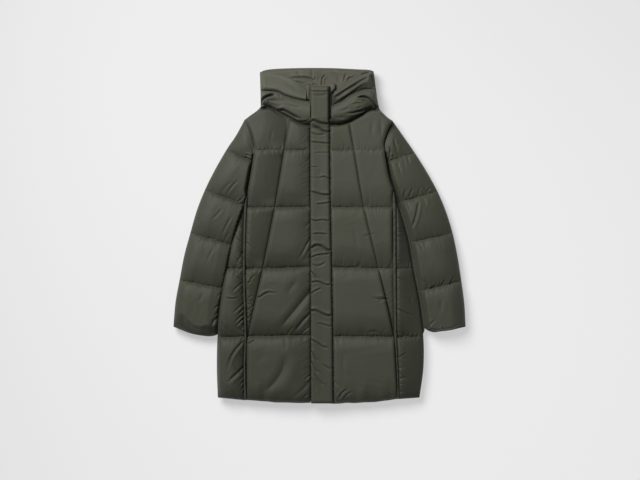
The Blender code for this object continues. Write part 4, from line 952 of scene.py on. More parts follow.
def beside_line(points, line):
    """How far each point is from a line, how far along it that is, and on which side."""
    lengths = np.concatenate([[0.0], np.cumsum(np.linalg.norm(np.diff(line, axis=0), axis=1))])
    away, along, side = np.full(len(points), 9.0), np.zeros(len(points)), np.zeros(len(points), bool)
    for i in range(len(line) - 1):
        run = line[i + 1] - line[i]
        offset = points - line[i]
        share = np.clip(offset @ run / max(run @ run, 1e-12), 0.0, 1.0)
        here = np.linalg.norm(offset - share[:, None] * run, axis=1)
        nearer = here < away
        away = np.where(nearer, here, away)
        along = np.where(nearer, lengths[i] + share * (lengths[i + 1] - lengths[i]), along)
        side = np.where(nearer, offset[:, 0] * run[1] - offset[:, 1] * run[0] > 0.0, side)
    return away, along, side, lengths[-1]


# How far a crease reaches, and the height and place of the shoulders on its two sides, in half widths.
CREASE_REACH = 4.5
LOW_SHOULDER = 0.10
LOW_SHOULDER_PLACE = 2.4
HIGH_SHOULDER = 0.42
HIGH_SHOULDER_PLACE = 2.6
HIGH_SHOULDER_WIDTH = 1.7


def crease_depth(points, creases):
    """How far creases press in, below zero, or their shoulders stand out, at places in plan."""
    total = np.zeros(len(points))
    for depth_tenths, width_tenths, fade_start, fade_end, *corners in creases:
        depth, half_width = depth_tenths / TENTHS, width_tenths / TENTHS
        line = np.reshape(corners, (-1, 2)) / TENTHS
        line = path_at(line, np.linspace(0.0, 1.0, 13)) if len(line) > 2 else line
        close = near_line(points, line, CREASE_REACH * half_width)
        away, along, side, length = beside_line(points[close], line)
        along /= length
        strength = np.ones(len(close))
        if fade_start > 0.0:
            strength *= smooth(along / fade_start)
        if fade_end > 0.0:
            strength *= smooth((1.0 - along) / fade_end)
        reach = away / half_width
        trough = np.exp(-(reach**1.5))
        low = LOW_SHOULDER * np.exp(-((reach - LOW_SHOULDER_PLACE) ** 2))
        high = HIGH_SHOULDER * np.exp(-(((reach - HIGH_SHOULDER_PLACE) / HIGH_SHOULDER_WIDTH) ** 2))
        shoulder = np.where(side, low, high)
        total[close] -= depth * strength * (trough - shoulder)
    return total


def uneven(where, pitch, seed):
    """Smooth random waves along a line, between -1 and 1."""
    values = np.random.RandomState(seed).uniform(-1.0, 1.0, 512)
    place = where / pitch
    low = np.floor(place).astype(int)
    return mix(values[low % 512], values[(low + 1) % 512], smooth(place - low))


def near_line(points, line, margin):
    """Which points lie within a margin of the box around a line."""
    line = np.asarray(line, float)
    low, high = line.min(axis=0) - margin, line.max(axis=0) + margin
    return np.flatnonzero(((points[:, :2] > low) & (points[:, :2] < high)).all(axis=1))


def gathers(points, line, seed, reach, lean):
    """Gathers on both sides of a sewn line: small waves close to it, and sharp folds that run out from it."""
    away, along, side, length = beside_line(points, np.asarray(line, float))
    ends = smooth(np.minimum(along, length - along) / GATHER_END_WIDTH)
    total = np.zeros(len(points))
    for which in (False, True):
        start = seed + 40 * which
        leaning = along + (LEANING * uneven(along, LEANING_PITCH, start) - lean) * away
        close = uneven(leaning, SMALL_WAVES, start + 1)
        close = close * away / SMALL_WAVE_REACH * np.exp(1.0 - away / SMALL_WAVE_REACH)
        fold = np.clip(1.0 - np.abs(uneven(leaning, FOLD_PITCH, start + 2)) / FOLD_SHARPNESS, 0.0, 1.0)
        length = reach * (FOLD_LEAST_LENGTH + np.abs(uneven(leaning, FOLD_LENGTH_PITCH, start + 3)))
        run_out = away / length * np.exp(1.0 - away / length)
        patchy = PATCH_MIDDLE + PATCH_SPREAD * uneven(along, PATCH_PITCH, start + 4)
        total += np.where(side == which, (0.5 * close - fold * run_out) * patchy, 0.0)
    return total * ends


WANDER_STEP = 0.0045


def wandering(line, seed, height=0.0012, pitch=0.011):
    """A sewn line that wanders a little from side to side, but not at its ends."""
    line = spaced(line, WANDER_STEP)
    runs = np.gradient(line, axis=0)
    across = np.column_stack([-runs[:, 1], runs[:, 0]]) / np.linalg.norm(runs, axis=1)[:, None]
    order = np.arange(len(line))
    ends = smooth(np.minimum(order, order[::-1]) / 4.0)
    return line + (across.T * ends * height * uneven(order * WANDER_STEP, pitch, seed)).T


# ---------------------------------------------------------------- heights
def quilt_lines(side, inner, outer):
    seed = {"right": 5, "left": 6}[side]
    return [wandering(across_body(side, inner, outer, level), seed + 10 * level) for level in (1, 2, 3, 4)]


def sewn_dip(points, away):
    """The dip along a sewn line, deeper here and there where the cloth gathers."""
    return np.exp(-away / GROOVE_WIDTH) * (0.75 + 0.60 * uneven(points[:, 0], 0.0052, 77))


def nearest(points, lines):
    found = np.full(len(points), 9.0)
    for line in lines:
        found = np.minimum(found, away_from(points, line))
    return found


def sewn_puff(away, press, rounding, steepness=PLAIN_STEEPNESS):
    """The share of the full puff that is left beside a sewn line. press is what it loses on the line."""
    return 1.0 - press * (1.0 - np.clip(away / rounding, 0.0, 1.0)) ** steepness


# The shares of a quilt line's press that fade slowly and at once on its lower side.
SLOW_STAND = 0.55
QUICK_STAND = 0.45


def quilt_puff(points, line, press):
    """The puff left beside a quilt line: the filling sags onto it from above and stands up soon below it."""
    away = away_from(points, line)
    above = points[:, 1] > np.interp(points[:, 0], *line[np.argsort(line[:, 0])].T)
    sagging = sewn_puff(away, press, QUILT_ROUNDING_ABOVE)
    standing = sewn_puff(away, SLOW_STAND * press, QUILT_ROUNDING_BELOW)
    standing = standing - QUICK_STAND * press * np.exp(-away / QUILT_STAND)
    return away, np.where(above, sagging, standing)


def front_height(name, inner, outer, quilts, hem=None, inner_seam=FRONT_SEAM_TOP, outer_width=None):
    """The outer face of a front piece between its inner and its outer line.

    outer_width says that the outer line is an outline, over which the piece rounds down to its bed, and
    what shares of that slope and of that rounding are left beside the sleeve.
    """
    (inner_press, inner_slope, inner_steep), (outer_press, outer_slope, outer_steep) = SEAM_PRESS[name]
    seam_groove = SEAM_GROOVE[name.split("_")[-1]]
    full_width = OWN_PUFF_WIDTH.get(name, FULL_PUFF_WIDTH)
    slope_share = OWN_SLOPE_SHARE.get(name, SLOPE_SHARE)

    def height(points):
        inner_away, outer_away = away_from(points, inner), away_from(points, outer)
        width = inner_away + outer_away
        seam = mix(inner_seam, FRONT_SEAM_TOP, inner_away / np.maximum(width, 1e-6))
        hem_away = away_from(points, hem) if hem is not None else np.full(len(points), 1.0)
        waves, pitch, seed = HEM_WAVES
        hem_away = hem_away * (1.0 + waves * uneven(points[:, 0], pitch, seed))
        groove = seam_groove * np.exp(-np.minimum(inner_away, outer_away) / SEAM_GROOVE_WIDTH)
        crossing = smooth(nearest(points, [line for line, press in quilts]) / CROSSING_WIDTH)
        level = outer_level = mix(CROSSING_SLOPE, 1.0, crossing)
        edge = rise(hem_away, HEM_TURN)
        if outer_width is not None:
            beyond = smooth((SLEEVE_END - points[:, 1]) / SLEEVE_END_WIDTH)
            outer_level = mix(outer_width[0], 1.0, beyond)
            edge = edge * rise(outer_away, OUTLINE_ROUNDING * mix(outer_width[1], 1.0, beyond))
        widest = slope_share * width + 1e-6
        puff = sewn_puff(inner_away, inner_press * level, np.minimum(inner_slope, widest), inner_steep)
        puff *= sewn_puff(outer_away, outer_press * outer_level, np.minimum(outer_slope, widest), outer_steep)
        puff *= rise(hem_away, HEM_ROUNDING)
        for line, press in quilts:
            away, left = quilt_puff(points, line, press)
            puff *= left
            clear = smooth(np.minimum(inner_away, outer_away) / QUILT_END_WIDTH)
            groove += mix(LEAST_DIP, 1.0, press) * sewn_dip(points, away) * clear
        found = FRONT_BED + OUTLINE_RIM + (seam - FRONT_BED - OUTLINE_RIM) * edge
        found = found + FRONT_PUFF * np.minimum(1.0, width / full_width) * puff - GROOVE_DEPTH * groove * edge
        below_neck = curve_at(NECKLINE, points[:, 0]) - NECK_GROOVE - points[:, 1]
        low = mix(NECK_TOP, found, smooth(below_neck / NECK_ROUNDING))
        found = np.where(below_neck < NECK_ROUNDING, low, found)
        fall = np.where(points[:, 0] < 0.0, *SHOULDER_FALL)
        fall = fall * smooth((points[:, 1] - SHOULDER_FALL_FROM) / SHOULDER_FALL_LENGTH)
        found = np.maximum(found - fall, np.minimum(found, NECK_TOP))
        shoulder_away = curve_at(NECK_EDGE, points[:, 0]) - points[:, 1]
        edge = rise(np.maximum(shoulder_away, 0.0), OUTLINE_ROUNDING)
        shoulder = FRONT_BED + OUTLINE_RIM + (found - FRONT_BED - OUTLINE_RIM) * edge
        return np.where(np.abs(points[:, 0]) > SHOULDER_START, shoulder, found)

    return height


def placket_line(which, first, last, count=60):
    y = np.linspace(first, last, count)
    return np.column_stack([curve_at(PLACKET_ROWS, y)[:, which], y])


# How strong the gathers along an upright seam are, and how much they lean. Along a quilt line it is 1 and 0.
SEAM_GATHERS = {
    "front_centre_right": (0.7, 0.6),
    "front_side_right": (1.0, 0.6),
    "front_side_left": (0.3, 0.6),
    "side_panel_right": (1.9, -1.1),
    "side_panel_left": (0.9, 0.0),
}
SLEEVE_GATHERS = 0.75


def add_front_centre(side):
    """From the placket to the slanted seam. The left one runs on under the placket."""
    name = f"front_centre_{side}"
    slant = body_line(side, "slant", 0, 5, 60)
    inner = body_line(side, "placket", 0, 5, 60)
    sewn = inner
    quilts = quilt_lines(side, "placket", "slant")
    if side == "left":
        sewn = placket_line(1, 0.346, -0.4998)
        sewn[:, 0] += 0.0015
    across = np.linspace(inner[-1, 0], slant[-1, 0], 60)
    hem = np.column_stack([across, curve_at(HEM_EDGES[side], across)])
    hem[0], hem[-1] = inner[-1], slant[-1]
    edges = [inner, hem, slant[::-1], neck_line(slant[0, 0], inner[0, 0])]
    seam_top = PLACKET_SEAM_TOP if side == "right" else UNDERLAP_TOP
    face = front_height(name, sewn, slant, list(zip(quilts, QUILT_PRESS[name])), hem, inner_seam=seam_top)
    if side == "right":
        gathered = [*[(line, 1.0, 0.0) for line in quilts], (inner, *SEAM_GATHERS[name])]
        return Piece(name, edges, quilts, face, FRONT_BED, gathered=gathered)

    def placket_x(y):
        return np.interp(y, sewn[::-1, 1], sewn[::-1, 0])

    def height(points):
        found = face(points)
        return np.where(points[:, 0] < placket_x(points[:, 1]), np.minimum(found, UNDERLAP_TOP), found)

    shown = [line[line[:, 0] > placket_x(line[:, 1]) - 1e-9] for line in quilts]
    gathered = [(line, 1.0, 0.0) for line in shown]
    return Piece(name, edges, [*shown, sewn[2:-2]], height, FRONT_BED, gathered=gathered)


def add_front_side(side):
    """The wedge between the slanted seam, the shoulder, the armhole and the side strip."""
    name = f"front_side_{side}"
    slant = body_line(side, "slant", 0, 4, 50)
    armhole = body_line(side, "side", 0, 1.6, 24)
    strip = body_line(side, "strip_inner", 1.7, 4, 30)
    outer = np.vstack([armhole, strip])
    foot = np.array([slant[-1], outer[-1]])
    edges = [slant, foot, outer[::-1], neck_line(outer[0, 0], slant[0, 0])]
    quilts = []
    for level in (1, 2, 3):
        a = curve_at(BODY_LINES[side]["slant"], level)[0]
        b = curve_at(BODY_LINES[side]["side" if level < 1.6 else "strip_inner"], level)[0]
        seed = {"right": 7, "left": 8}[side] + 10 * level
        quilts.append(wandering(a + (b - a) * np.linspace(0.0, 1.0, 12)[:, None], seed))
    face = front_height(name, slant, outer, list(zip(quilts, QUILT_PRESS[name])))
    gathered = [*[(line, 1.0, 0.0) for line in quilts], (strip, *SEAM_GATHERS[name])]
    return Piece(name, edges, quilts, face, FRONT_BED, gathered=gathered)


def add_side_panel(side):
    """From the side strip to the side edge, underarm to hem."""
    name = f"side_panel_{side}"
    first = {"right": 2.0, "left": 1.92}[side]
    inner = body_line(side, "strip_outer", first, 5, 50)
    outer = body_line(side, "side", first, 5, 50)
    hem = np.array([inner[-1], outer[-1]])
    quilts = []
    for level in (3, 4):
        quilts.append(wandering(across_body(side, "strip_outer", "side", level), 9 + 10 * level))
    pressed = list(zip(quilts, QUILT_PRESS[name]))
    face = front_height(name, inner, outer, pressed, hem, outer_width=BESIDE_SLEEVE[side])
    edges = [inner, hem, outer[::-1], np.array([outer[0], inner[0]])]
    gathered = [*[(line, 1.0, 0.0) for line in quilts], (inner, *SEAM_GATHERS[name])]
    return Piece(name, edges, quilts, face, FRONT_BED, gathered=gathered)


# The placket: the share of its thickness left on its seam and at its ends, the widths over which its seam,
# its free edge and its ends round over, and where it climbs onto the collar.
PLACKET_SEWN = 0.70
PLACKET_ENDS = 0.3
PLACKET_SEAM_ROUNDING = 0.010
PLACKET_FREE_ROUNDING = 0.008
PLACKET_END_ROUNDING = 0.009
PLACKET_CLIMB_FROM = 0.318
PLACKET_CLIMB_LENGTH = 0.035


def add_placket():
    top, bottom = PLACKET_ROWS[-1][0], PLACKET_ROWS[0][0]
    left, right = placket_line(0, top, bottom), placket_line(1, top, bottom)
    edges = [left, np.array([left[-1], right[-1]]), right[::-1], np.array([right[0], left[0]])]

    def height(points):
        sewn = mix(PLACKET_SEWN, 1.0, rise(away_from(points, left), PLACKET_SEAM_ROUNDING))
        free = rise(away_from(points, right), PLACKET_FREE_ROUNDING)
        climb = smooth((points[:, 1] - PLACKET_CLIMB_FROM) / PLACKET_CLIMB_LENGTH)
        body = PLACKET_THICK + PLACKET_COLLAR_RISE * climb
        end = np.minimum(top - points[:, 1], points[:, 1] - bottom)
        ends = mix(PLACKET_ENDS, 1.0, rise(end, PLACKET_END_ROUNDING))
        return PLACKET_BED + np.maximum(body * sewn * free * ends, OUTLINE_RIM)

    return Piece(
        "placket", edges, [], height, PLACKET_BED, spacing=0.0034, slack=0.015, pressure=0.3, liveliness=0.5,
    )


# Each roll's height in the middle, along its upper and its lower edge, and of the ridge beside the upper one.
ROLL_HEIGHTS = {
    "collar": (COLLAR_TOP, HOOD_SEAM_TOP, COLLAR_BED + 0.004, 0.0),
    "hood_side": (HOOD_SIDE_TOP, COLLAR_BED + 0.006, HOOD_SEAM_TOP, HOOD_RIDGE),
}

# Shares of a roll's depth over which it rounds over at its upper and its lower edge, and where the ridge
# stands and fades. The hood's right side: where its rim begins, how soon it is at its height and rounds over,
# the share of the depth over which the side climbs, and how it rounds over at the collar.
ROLL_UPPER_SHARE = 0.45
ROLL_LOWER_SHARE = 0.5
HOOD_RIDGE_PLACE = 0.011
HOOD_RIDGE_FADE = 0.02
HOOD_RIM_FROM = -0.130
HOOD_RIM_LENGTH = 0.050
HOOD_RIM_ROUNDING = 0.005
HOOD_CLIMB_SHARE = 0.85
HOOD_SEAM_ROUNDING = 0.009
HOOD_SIDE_LIFT = 0.0002


def add_roll(kind, side):
    """A padded piece of the hood or collar between its upper and lower edges."""
    name = f"{kind}_{side}"
    upper, lower = (path_at(edge, np.linspace(0.0, 1.0, 40)) for edge in HOOD_EDGES[name])
    if kind == "collar":
        lower[:, 1] = curve_at(NECKLINE, lower[:, 0])
    top, upper_seam, lower_seam, ridge = ROLL_HEIGHTS[kind]
    end = np.array([upper[0], lower[0]])
    edges = [upper, np.array([upper[-1], lower[-1]]), lower[::-1], end[::-1]]

    def roll_height(points):
        from_upper, from_lower = away_from(points, upper), away_from(points, lower)
        from_end = away_from(points, end)
        depth = from_upper + from_lower
        across = from_upper / np.maximum(depth, 1e-6)
        puff = rise(from_upper, ROLL_UPPER_SHARE * depth + 1e-6)
        puff = puff * rise(from_lower, ROLL_LOWER_SHARE * depth + 1e-6)
        puff *= rise(from_end, END_ROUNDING[name])
        seam = mix(upper_seam, lower_seam, across)
        base = COLLAR_BED + OUTLINE_RIM + (seam - COLLAR_BED - OUTLINE_RIM) * rise(from_end, OUTLINE_ROUNDING)
        found = base + (top - seam) * puff
        place = np.exp(-((from_upper / HOOD_RIDGE_PLACE - 1.0) ** 2))
        found = found + ridge * place * rise(from_end, HOOD_RIDGE_FADE)
        return np.maximum(found, COLLAR_BED + OUTLINE_RIM)

    def panel_height(points):
        """A smooth panel that climbs out of the hood's back, and ends in a low rim nearer the middle."""
        from_upper, from_lower = away_from(points, upper), away_from(points, lower)
        depth = from_upper + from_lower
        rim = HOOD_RIM * smooth((points[:, 0] - HOOD_RIM_FROM) / HOOD_RIM_LENGTH)
        climb = smooth(from_upper / (HOOD_CLIMB_SHARE * depth + 1e-6))
        found = OUTLINE_RIM / 2.0 + rim * rise(from_upper, HOOD_RIM_ROUNDING)
        found = found + (HOOD_SIDE_TOP - COLLAR_BED - rim) * climb
        found -= (HOOD_SIDE_TOP - HOOD_SEAM_TOP) * (1.0 - rise(from_lower, HOOD_SEAM_ROUNDING))
        return COLLAR_BED + HOOD_SIDE_LIFT + found * rise(away_from(points, end), END_ROUNDING[name])

    height, puff = roll_height, {"slack": 0.03, "pressure": 1.0, "liveliness": 0.6}
    if name == "hood_side_right":
        height, puff = panel_height, {"slack": 0.01, "pressure": 0.4, "liveliness": 0.4}
    return Piece(name, edges, [], height, COLLAR_BED, spacing=0.0030, **puff)


# The hood's back: the height of its fold, the least height of its face, and of its underside at the fold, how
# far the fold has risen at its edge, and the width over which its underside rounds over.
HOOD_BACK_EDGE = 0.0200
HOOD_BACK_BED = 0.0180
HOOD_BACK_UNDER = 0.0160
HOOD_FOLD_START = 0.001
HOOD_FOLD_ROUNDING = 0.018


def add_hood_back():
    upper, lower = (path_at(edge, np.linspace(0.0, 1.0, 50)) for edge in HOOD_EDGES["hood_back"])
    lower[:, 1] = curve_at(NECK_EDGE, lower[:, 0]) + HOOD_NECK_GAP
    sides = np.array([upper[-1], lower[-1]]), np.array([lower[0], upper[0]])
    edges = [upper, sides[0], lower[::-1], sides[1]]

    def height(points):
        fold = rise(away_from(points, upper) + HOOD_FOLD_START, OUTLINE_ROUNDING)
        return mix(HOOD_BACK_EDGE, HOOD_BACK_TOP, fold)

    puff = {"slack": 0.02, "pressure": 0.4, "liveliness": 0.3}
    piece = Piece("hood_back", edges, [], height, HOOD_BACK_BED, spacing=0.0036, **puff)

    def underside(points):
        rounded = rise(away_from(points, upper), HOOD_FOLD_ROUNDING)
        beside = np.minimum(away_from(points, sides[0]), away_from(points, sides[1]))
        return HOOD_BACK_UNDER * (1.0 - rounded * rise(beside, UNDERSIDE_ROUNDING))

    piece.underside = underside
    return piece


def under_groove(points, quilts, depth, width):
    """The soft grooves along the quilt lines of an underside."""
    return depth * np.exp(-((nearest(points, quilts) / width) ** 2))


def add_sleeve(side):
    inner, outer = sleeve_edge(side, 0.0), sleeve_edge(side, 1.0)
    armhole, cuff = sleeve_line(side, 0.0, count=30), sleeve_line(side, 5.0, count=30)
    seed = {"right": 3, "left": 4}[side]
    quilts = [wandering(sleeve_line(side, level), seed + 10 * level, 0.0014) for level in (1, 2, 3, 4)]
    edges = [armhole, outer, cuff[::-1], inner[::-1]]

    def height(points):
        inner_away, outer_away = away_from(points, inner), away_from(points, outer)
        from_cuff, from_armhole = away_from(points, cuff), away_from(points, armhole)
        puff = np.ones(len(points))
        groove = np.zeros(len(points))
        for line in quilts:
            away, left = quilt_puff(points, line, SLEEVE_PRESS)
            puff *= left
            groove += SLEEVE_PRESS * sewn_dip(points, away)
        crown = SLEEVE_SEAM_TOP + SLEEVE_PUFF * puff - GROOVE_DEPTH * groove
        crown = mix(ARMHOLE_TOP, crown, smooth(from_armhole / ARMHOLE_ROUNDING))
        crown -= GROOVE_DEPTH * np.exp(-from_armhole / GROOVE_WIDTH)
        inner_rounding = np.interp(points[:, 1], *np.array(SLEEVE_INNER_ROUNDING[side]).T)
        upward = smooth((points[:, 1] - SLEEVE_OUTER_FROM) / SLEEVE_OUTER_LENGTH)
        outer_rounding = mix(*SLEEVE_OUTER_ROUNDING[side], upward)
        over = rise(inner_away, inner_rounding)
        if side == "left":
            over = mix(over, smooth(inner_away / inner_rounding), LEFT_SLEEVE_SOFTNESS)
        else:
            fall = np.interp(points[:, 1], *np.array(RIGHT_SLEEVE_FALL).T)
            crown -= fall * (1.0 - np.clip(inner_away / SLEEVE_FALL_WIDTH, 0.0, 1.0)) ** SLEEVE_FALL_CURVE
        over = over * rise(outer_away, outer_rounding)
        lip, rounding = CUFF_ROUNDING[side]
        waves, pitch = CUFF_WAVES
        mouth = smooth(from_cuff * (1.0 + waves * uneven(points[:, 0], pitch, seed)) / rounding)
        return SLEEVE_MIDDLE + SLEEVE_EDGE_RISE + (crown - SLEEVE_MIDDLE) * over * mix(lip, 1.0, mouth)

    gathered = [(line, SLEEVE_GATHERS, 0.0) for line in quilts]
    piece = Piece(f"sleeve_{side}", edges, quilts, height, SLEEVE_MIDDLE, gathered=gathered)

    def underside(points):
        inner_width, outer_width = SLEEVE_UNDER_ROUNDING
        under = rise(away_from(points, inner), inner_width) * rise(away_from(points, outer), outer_width)
        lip, rounding = CUFF_UNDER_ROUNDING
        under = under * mix(lip, 1.0, rise(away_from(points, cuff), rounding))
        groove = under_groove(points, quilts, *SLEEVE_UNDER_GROOVE)
        return (SLEEVE_MIDDLE - SLEEVE_EDGE_RISE) * (1.0 - under) + groove * under

    piece.underside = underside
    return piece


def add_back():
    right, left = body_line("right", "side", 0, 5, 70), body_line("left", "side", 0, 5, 70)
    for side, line in (("right", right), ("left", left)):
        beside_sleeve = smooth((line[:, 1] - BELOW_SLEEVE_FROM) / BELOW_SLEEVE_LENGTH)
        reach = sleeve_gap(side, line[:, 1]) + BACK_BELOW_SLEEVE
        line[:, 0] += SIGN[side] * mix(-BACK_SET_IN, reach, beside_sleeve)
    shares = np.linspace(0.0, 1.0, 60)
    hem = right[-1] + (left[-1] - right[-1]) * shares[:, None]
    hem[:, 1] += BACK_SET_IN - HEM_SAG * (4.0 * shares * (1.0 - shares)) ** HEM_SAG_CURVE
    right[-1, 1] += BACK_SET_IN
    left[-1, 1] += BACK_SET_IN
    neck = neck_line(left[0, 0], right[0, 0], 60)
    neck[:, 1] -= HOOD_NECK_GAP / 2.0
    edges = [right, hem, left[::-1], neck]
    quilts = []
    for level in (1, 2, 3, 4):
        a, b = (curve_at(BODY_LINES[side]["side"], level)[0] for side in ("right", "left"))
        for end, line in ((a, right), (b, left)):
            end[0] = np.interp(end[1], line[::-1, 1], line[::-1, 0])
        quilts.append(a + (b - a) * np.linspace(0.0, 1.0, 30)[:, None])

    def height(points):
        side_away = np.minimum(away_from(points, right[14:]), away_from(points, left[14:]))
        rounded = rise(side_away, UNDERSIDE_ROUNDING) * rise(away_from(points, hem), UNDERSIDE_ROUNDING)
        groove = under_groove(points, quilts, *BACK_GROOVE)
        return (BACK_TOP - OUTLINE_RIM) * (1.0 - rounded) + groove * rounded

    return Piece("back", edges, quilts, height, BACK_TOP, spacing=BACK_SPACING)


def add_grid(name, rows, closed_bed):
    """A closed strip from rows of points across it, with a flat bed."""
    count, across = len(rows), len(rows[0])
    points = [place for row in rows for place in row]
    points += [(x, y, closed_bed) for row in rows for x, y, z in (row[0], row[-1])]
    faces = []
    for r in range(count - 1):
        for c in range(across - 1):
            a = r * across + c
            faces.append((a, a + 1, a + across + 1, a + across))
        start = count * across + 2 * r
        faces.append((start, start + 1, start + 3, start + 2))
        faces.append((r * across, (r + 1) * across, start + 2, start))
        faces.append((r * across + across - 1, start + 1, start + 3, (r + 1) * across + across - 1))
    for r, corner in ((0, count * across), (count - 1, count * across + 2 * (count - 1))):
        faces.append((*range(r * across, r * across + across), corner + 1, corner))
    mesh = make_mesh(name, points, faces)
    piece = bpy.data.objects.new(name, mesh)
    bpy.context.scene.collection.objects.link(piece)
    builder = bmesh.new()
    builder.from_mesh(mesh)
    bmesh.ops.recalc_face_normals(builder, faces=builder.faces)
    builder.to_mesh(mesh)
    builder.free()
    mesh.shade_smooth()
    mesh.set_sharp_from_angle(angle=math.radians(60.0))
    return piece


# The side strips: the height, pitch and start of the waves along them, and how full they are across.
STRIP_WAVES = ((0.0007, 71.0, 0.0), (0.0005, 163.0, 1.0))
STRIP_ROUNDNESS = 0.55


def add_side_strip(side):
    """The narrow raised strip between the fronts and the side panel, a little uneven along its length."""
    first = BODY_LINES[side]["strip_outer"][0][0]
    inner, outer = (body_line(side, name, first, 5, 230) for name in ("strip_inner", "strip_outer"))
    hem_away = away_from(inner, inner[-1:].repeat(2, axis=0) + [[0.0, 0.0], [1e-4, 0.0]])
    end = rise(hem_away, OUTLINE_ROUNDING)
    shares = np.linspace(0.0, 1.0, 9)
    along = np.linspace(0.0, 1.0, len(inner))
    wave = sum(height * np.sin(pitch * along + start) for height, pitch, start in STRIP_WAVES)
    rows = []
    for i, (a, b) in enumerate(zip(inner, outer)):
        row = []
        for share in shares:
            seam = mix(*STRIP_EDGES[side], share)
            raised = mix(seam, STRIP_TOP + wave[i], math.sin(math.pi * share) ** STRIP_ROUNDNESS)
            row.append((*(a + (b - a) * share), float(mix(FRONT_BED + OUTLINE_RIM, raised, end[i]))))
        rows.append(row)
    return add_grid(f"side_strip_{side}", rows, FRONT_BED)


# The stand collar: where the placket ends on each side and how soon the collar rises beyond it; the share of
# its height that is left at its sides, and the width over which they round over; from which y its tips slant
# and fall, how far, over what length, and how much of the fall is left at first and how soon that fades.
PLACKET_SIDES = (-0.0283, 0.0300)
STAND_RISE_WIDTH = 0.004
STAND_SIDES = 0.35
STAND_SIDE_ROUNDING = 0.0045
STAND_TIP_FROM = 0.4440
STAND_TIP_SLANT = 0.006
STAND_SLANT_LENGTH = 0.0095
STAND_FALL_FROM = 0.4400
STAND_TIP_FALL = 0.0075
STAND_FALL_LENGTH = 0.0135
STAND_FALL_SHARE = 0.3
STAND_FALL_FADE = 0.0300


def add_stand_collar():
    """The inner collar, whose ends show on each side of the placket's top."""
    y_places = np.linspace(STAND_ROWS[0][2], STAND_ROWS[-1][3], 34)
    left = curve_at([(row[2], row[0]) for row in STAND_ROWS], y_places)
    right = curve_at([(row[3], row[1]) for row in STAND_ROWS], y_places)
    rows = []
    for y, x_left, x_right in zip(y_places, left, right):
        beyond = max(y - STAND_TIP_FROM, 0.0)
        drop = STAND_TIP_FALL * max(y - STAND_FALL_FROM, 0.0) / STAND_FALL_LENGTH
        fall = drop * STAND_FALL_SHARE * (1.0 - beyond / STAND_FALL_FADE)
        row = []
        for share in np.concatenate([np.linspace(0.0, 0.5, 13), np.linspace(0.5, 1.0, 13)[1:]]):
            x = float(mix(x_left, x_right, share))
            beside = max(PLACKET_SIDES[0] - x, x - PLACKET_SIDES[1])
            shown = max(min(beside / STAND_RISE_WIDTH, 1.0), 0.0)
            edge = float(rise(min(x - x_left, x_right - x), STAND_SIDE_ROUNDING))
            lift = shown * mix(STAND_SIDES, 1.0, edge)
            slant = STAND_TIP_SLANT * beyond / STAND_SLANT_LENGTH * (1.0 - share)
            row.append((x, y - slant, mix(UNDERLAP_TOP, STAND_COLLAR_RIM, lift) - fall))
        rows.append(row)
    return add_grid("stand_collar", rows, COLLAR_BED)


def sewn_under(piece):
    """Joins the underside to a piece's face along its edge.

    A face of it that the rim's own corners already form gets a point in its middle, so that both stay.
    """
    builder = bmesh.new()
    builder.from_mesh(piece.mesh)
    rim = [edge for edge in builder.edges if edge.is_boundary]
    neighbours = {}
    for edge in rim:
        for corner in edge.verts:
            neighbours.setdefault(corner, []).append(edge.other_vert(corner))
    start = rim[0].verts[0]
    loop, before, here = [start], start, neighbours[start][0]
    while here is not start:
        loop.append(here)
        ahead = [corner for corner in neighbours[here] if corner is not before]
        before, here = here, ahead[0]
    outline = np.array([(corner.co.x, corner.co.y) for corner in loop])
    flat, faces = cut_cloth(outline, [], UNDER_SPACING)
    heights = piece.underside(flat)
    made = []
    for index, place in enumerate(flat):
        if index < len(outline) and np.linalg.norm(place - outline[index]) < 1e-5:
            made.append(loop[index])
        else:
            made.append(builder.verts.new((place[0], place[1], heights[index])))
    for face in faces:
        corners = [made[i] for i in face]
        if builder.faces.get(corners) is None:
            builder.faces.new(corners)
            continue
        middle = sum((corner.co for corner in corners), Vector()) / 3.0
        middle = builder.verts.new(middle - Vector((0.0, 0.0, 0.001)))
        for a, b in zip(corners, [*corners[1:], corners[0]]):
            builder.faces.new((a, b, middle))
    bmesh.ops.recalc_face_normals(builder, faces=builder.faces)
    builder.to_mesh(piece.mesh)
    builder.free()
    piece.mesh.shade_smooth()


# ---------------------------------------------------------------- cloths
class Value:
    """A socket of a cloth's nodes that can stand in a sum."""

    def __init__(self, cloth, socket):
        self.cloth = cloth
        self.socket = socket

    def sum(self, operation, a, b=0.0):
        return self.cloth.node("ShaderNodeMath", {"operation": operation}, {0: a, 1: b})

    def __add__(self, other):
        return self.sum("ADD", self, other)

    def __sub__(self, other):
        return self.sum("SUBTRACT", self, other)

    def __rsub__(self, other):
        return self.sum("SUBTRACT", other, self)

    def __mul__(self, other):
        return self.sum("MULTIPLY", self, other)

    __radd__ = __add__
    __rmul__ = __mul__

    def sine(self):
        return self.sum("SINE", self)


class Cloth:
    """A cloth's material, and the nodes that give its weave and shade."""

    def __init__(self, name, **fixed):
        self.material = bpy.data.materials.new(name)
        self.material.use_nodes = True
        self.tree = self.material.node_tree
        self.shader = self.tree.nodes["Principled BSDF"]
        for socket, value in fixed.items():
            self.shader.inputs[socket.replace("_", " ")].default_value = value

    def node(self, kind, settings=None, values=None, output=0):
        made = self.tree.nodes.new(kind)
        for key, value in (settings or {}).items():
            setattr(made, key, value)
        for key, value in (values or {}).items():
            if isinstance(value, Value):
                self.tree.links.new(value.socket, made.inputs[key])
            else:
                made.inputs[key].default_value = value
        return Value(self, made.outputs[output])

    def feed(self, socket, value):
        self.tree.links.new(value.socket, self.shader.inputs[socket])


THREAD_PITCH = 0.00055
WEAVE_HEIGHT = 0.00003
RIPPLE_HEIGHT = 0.00010


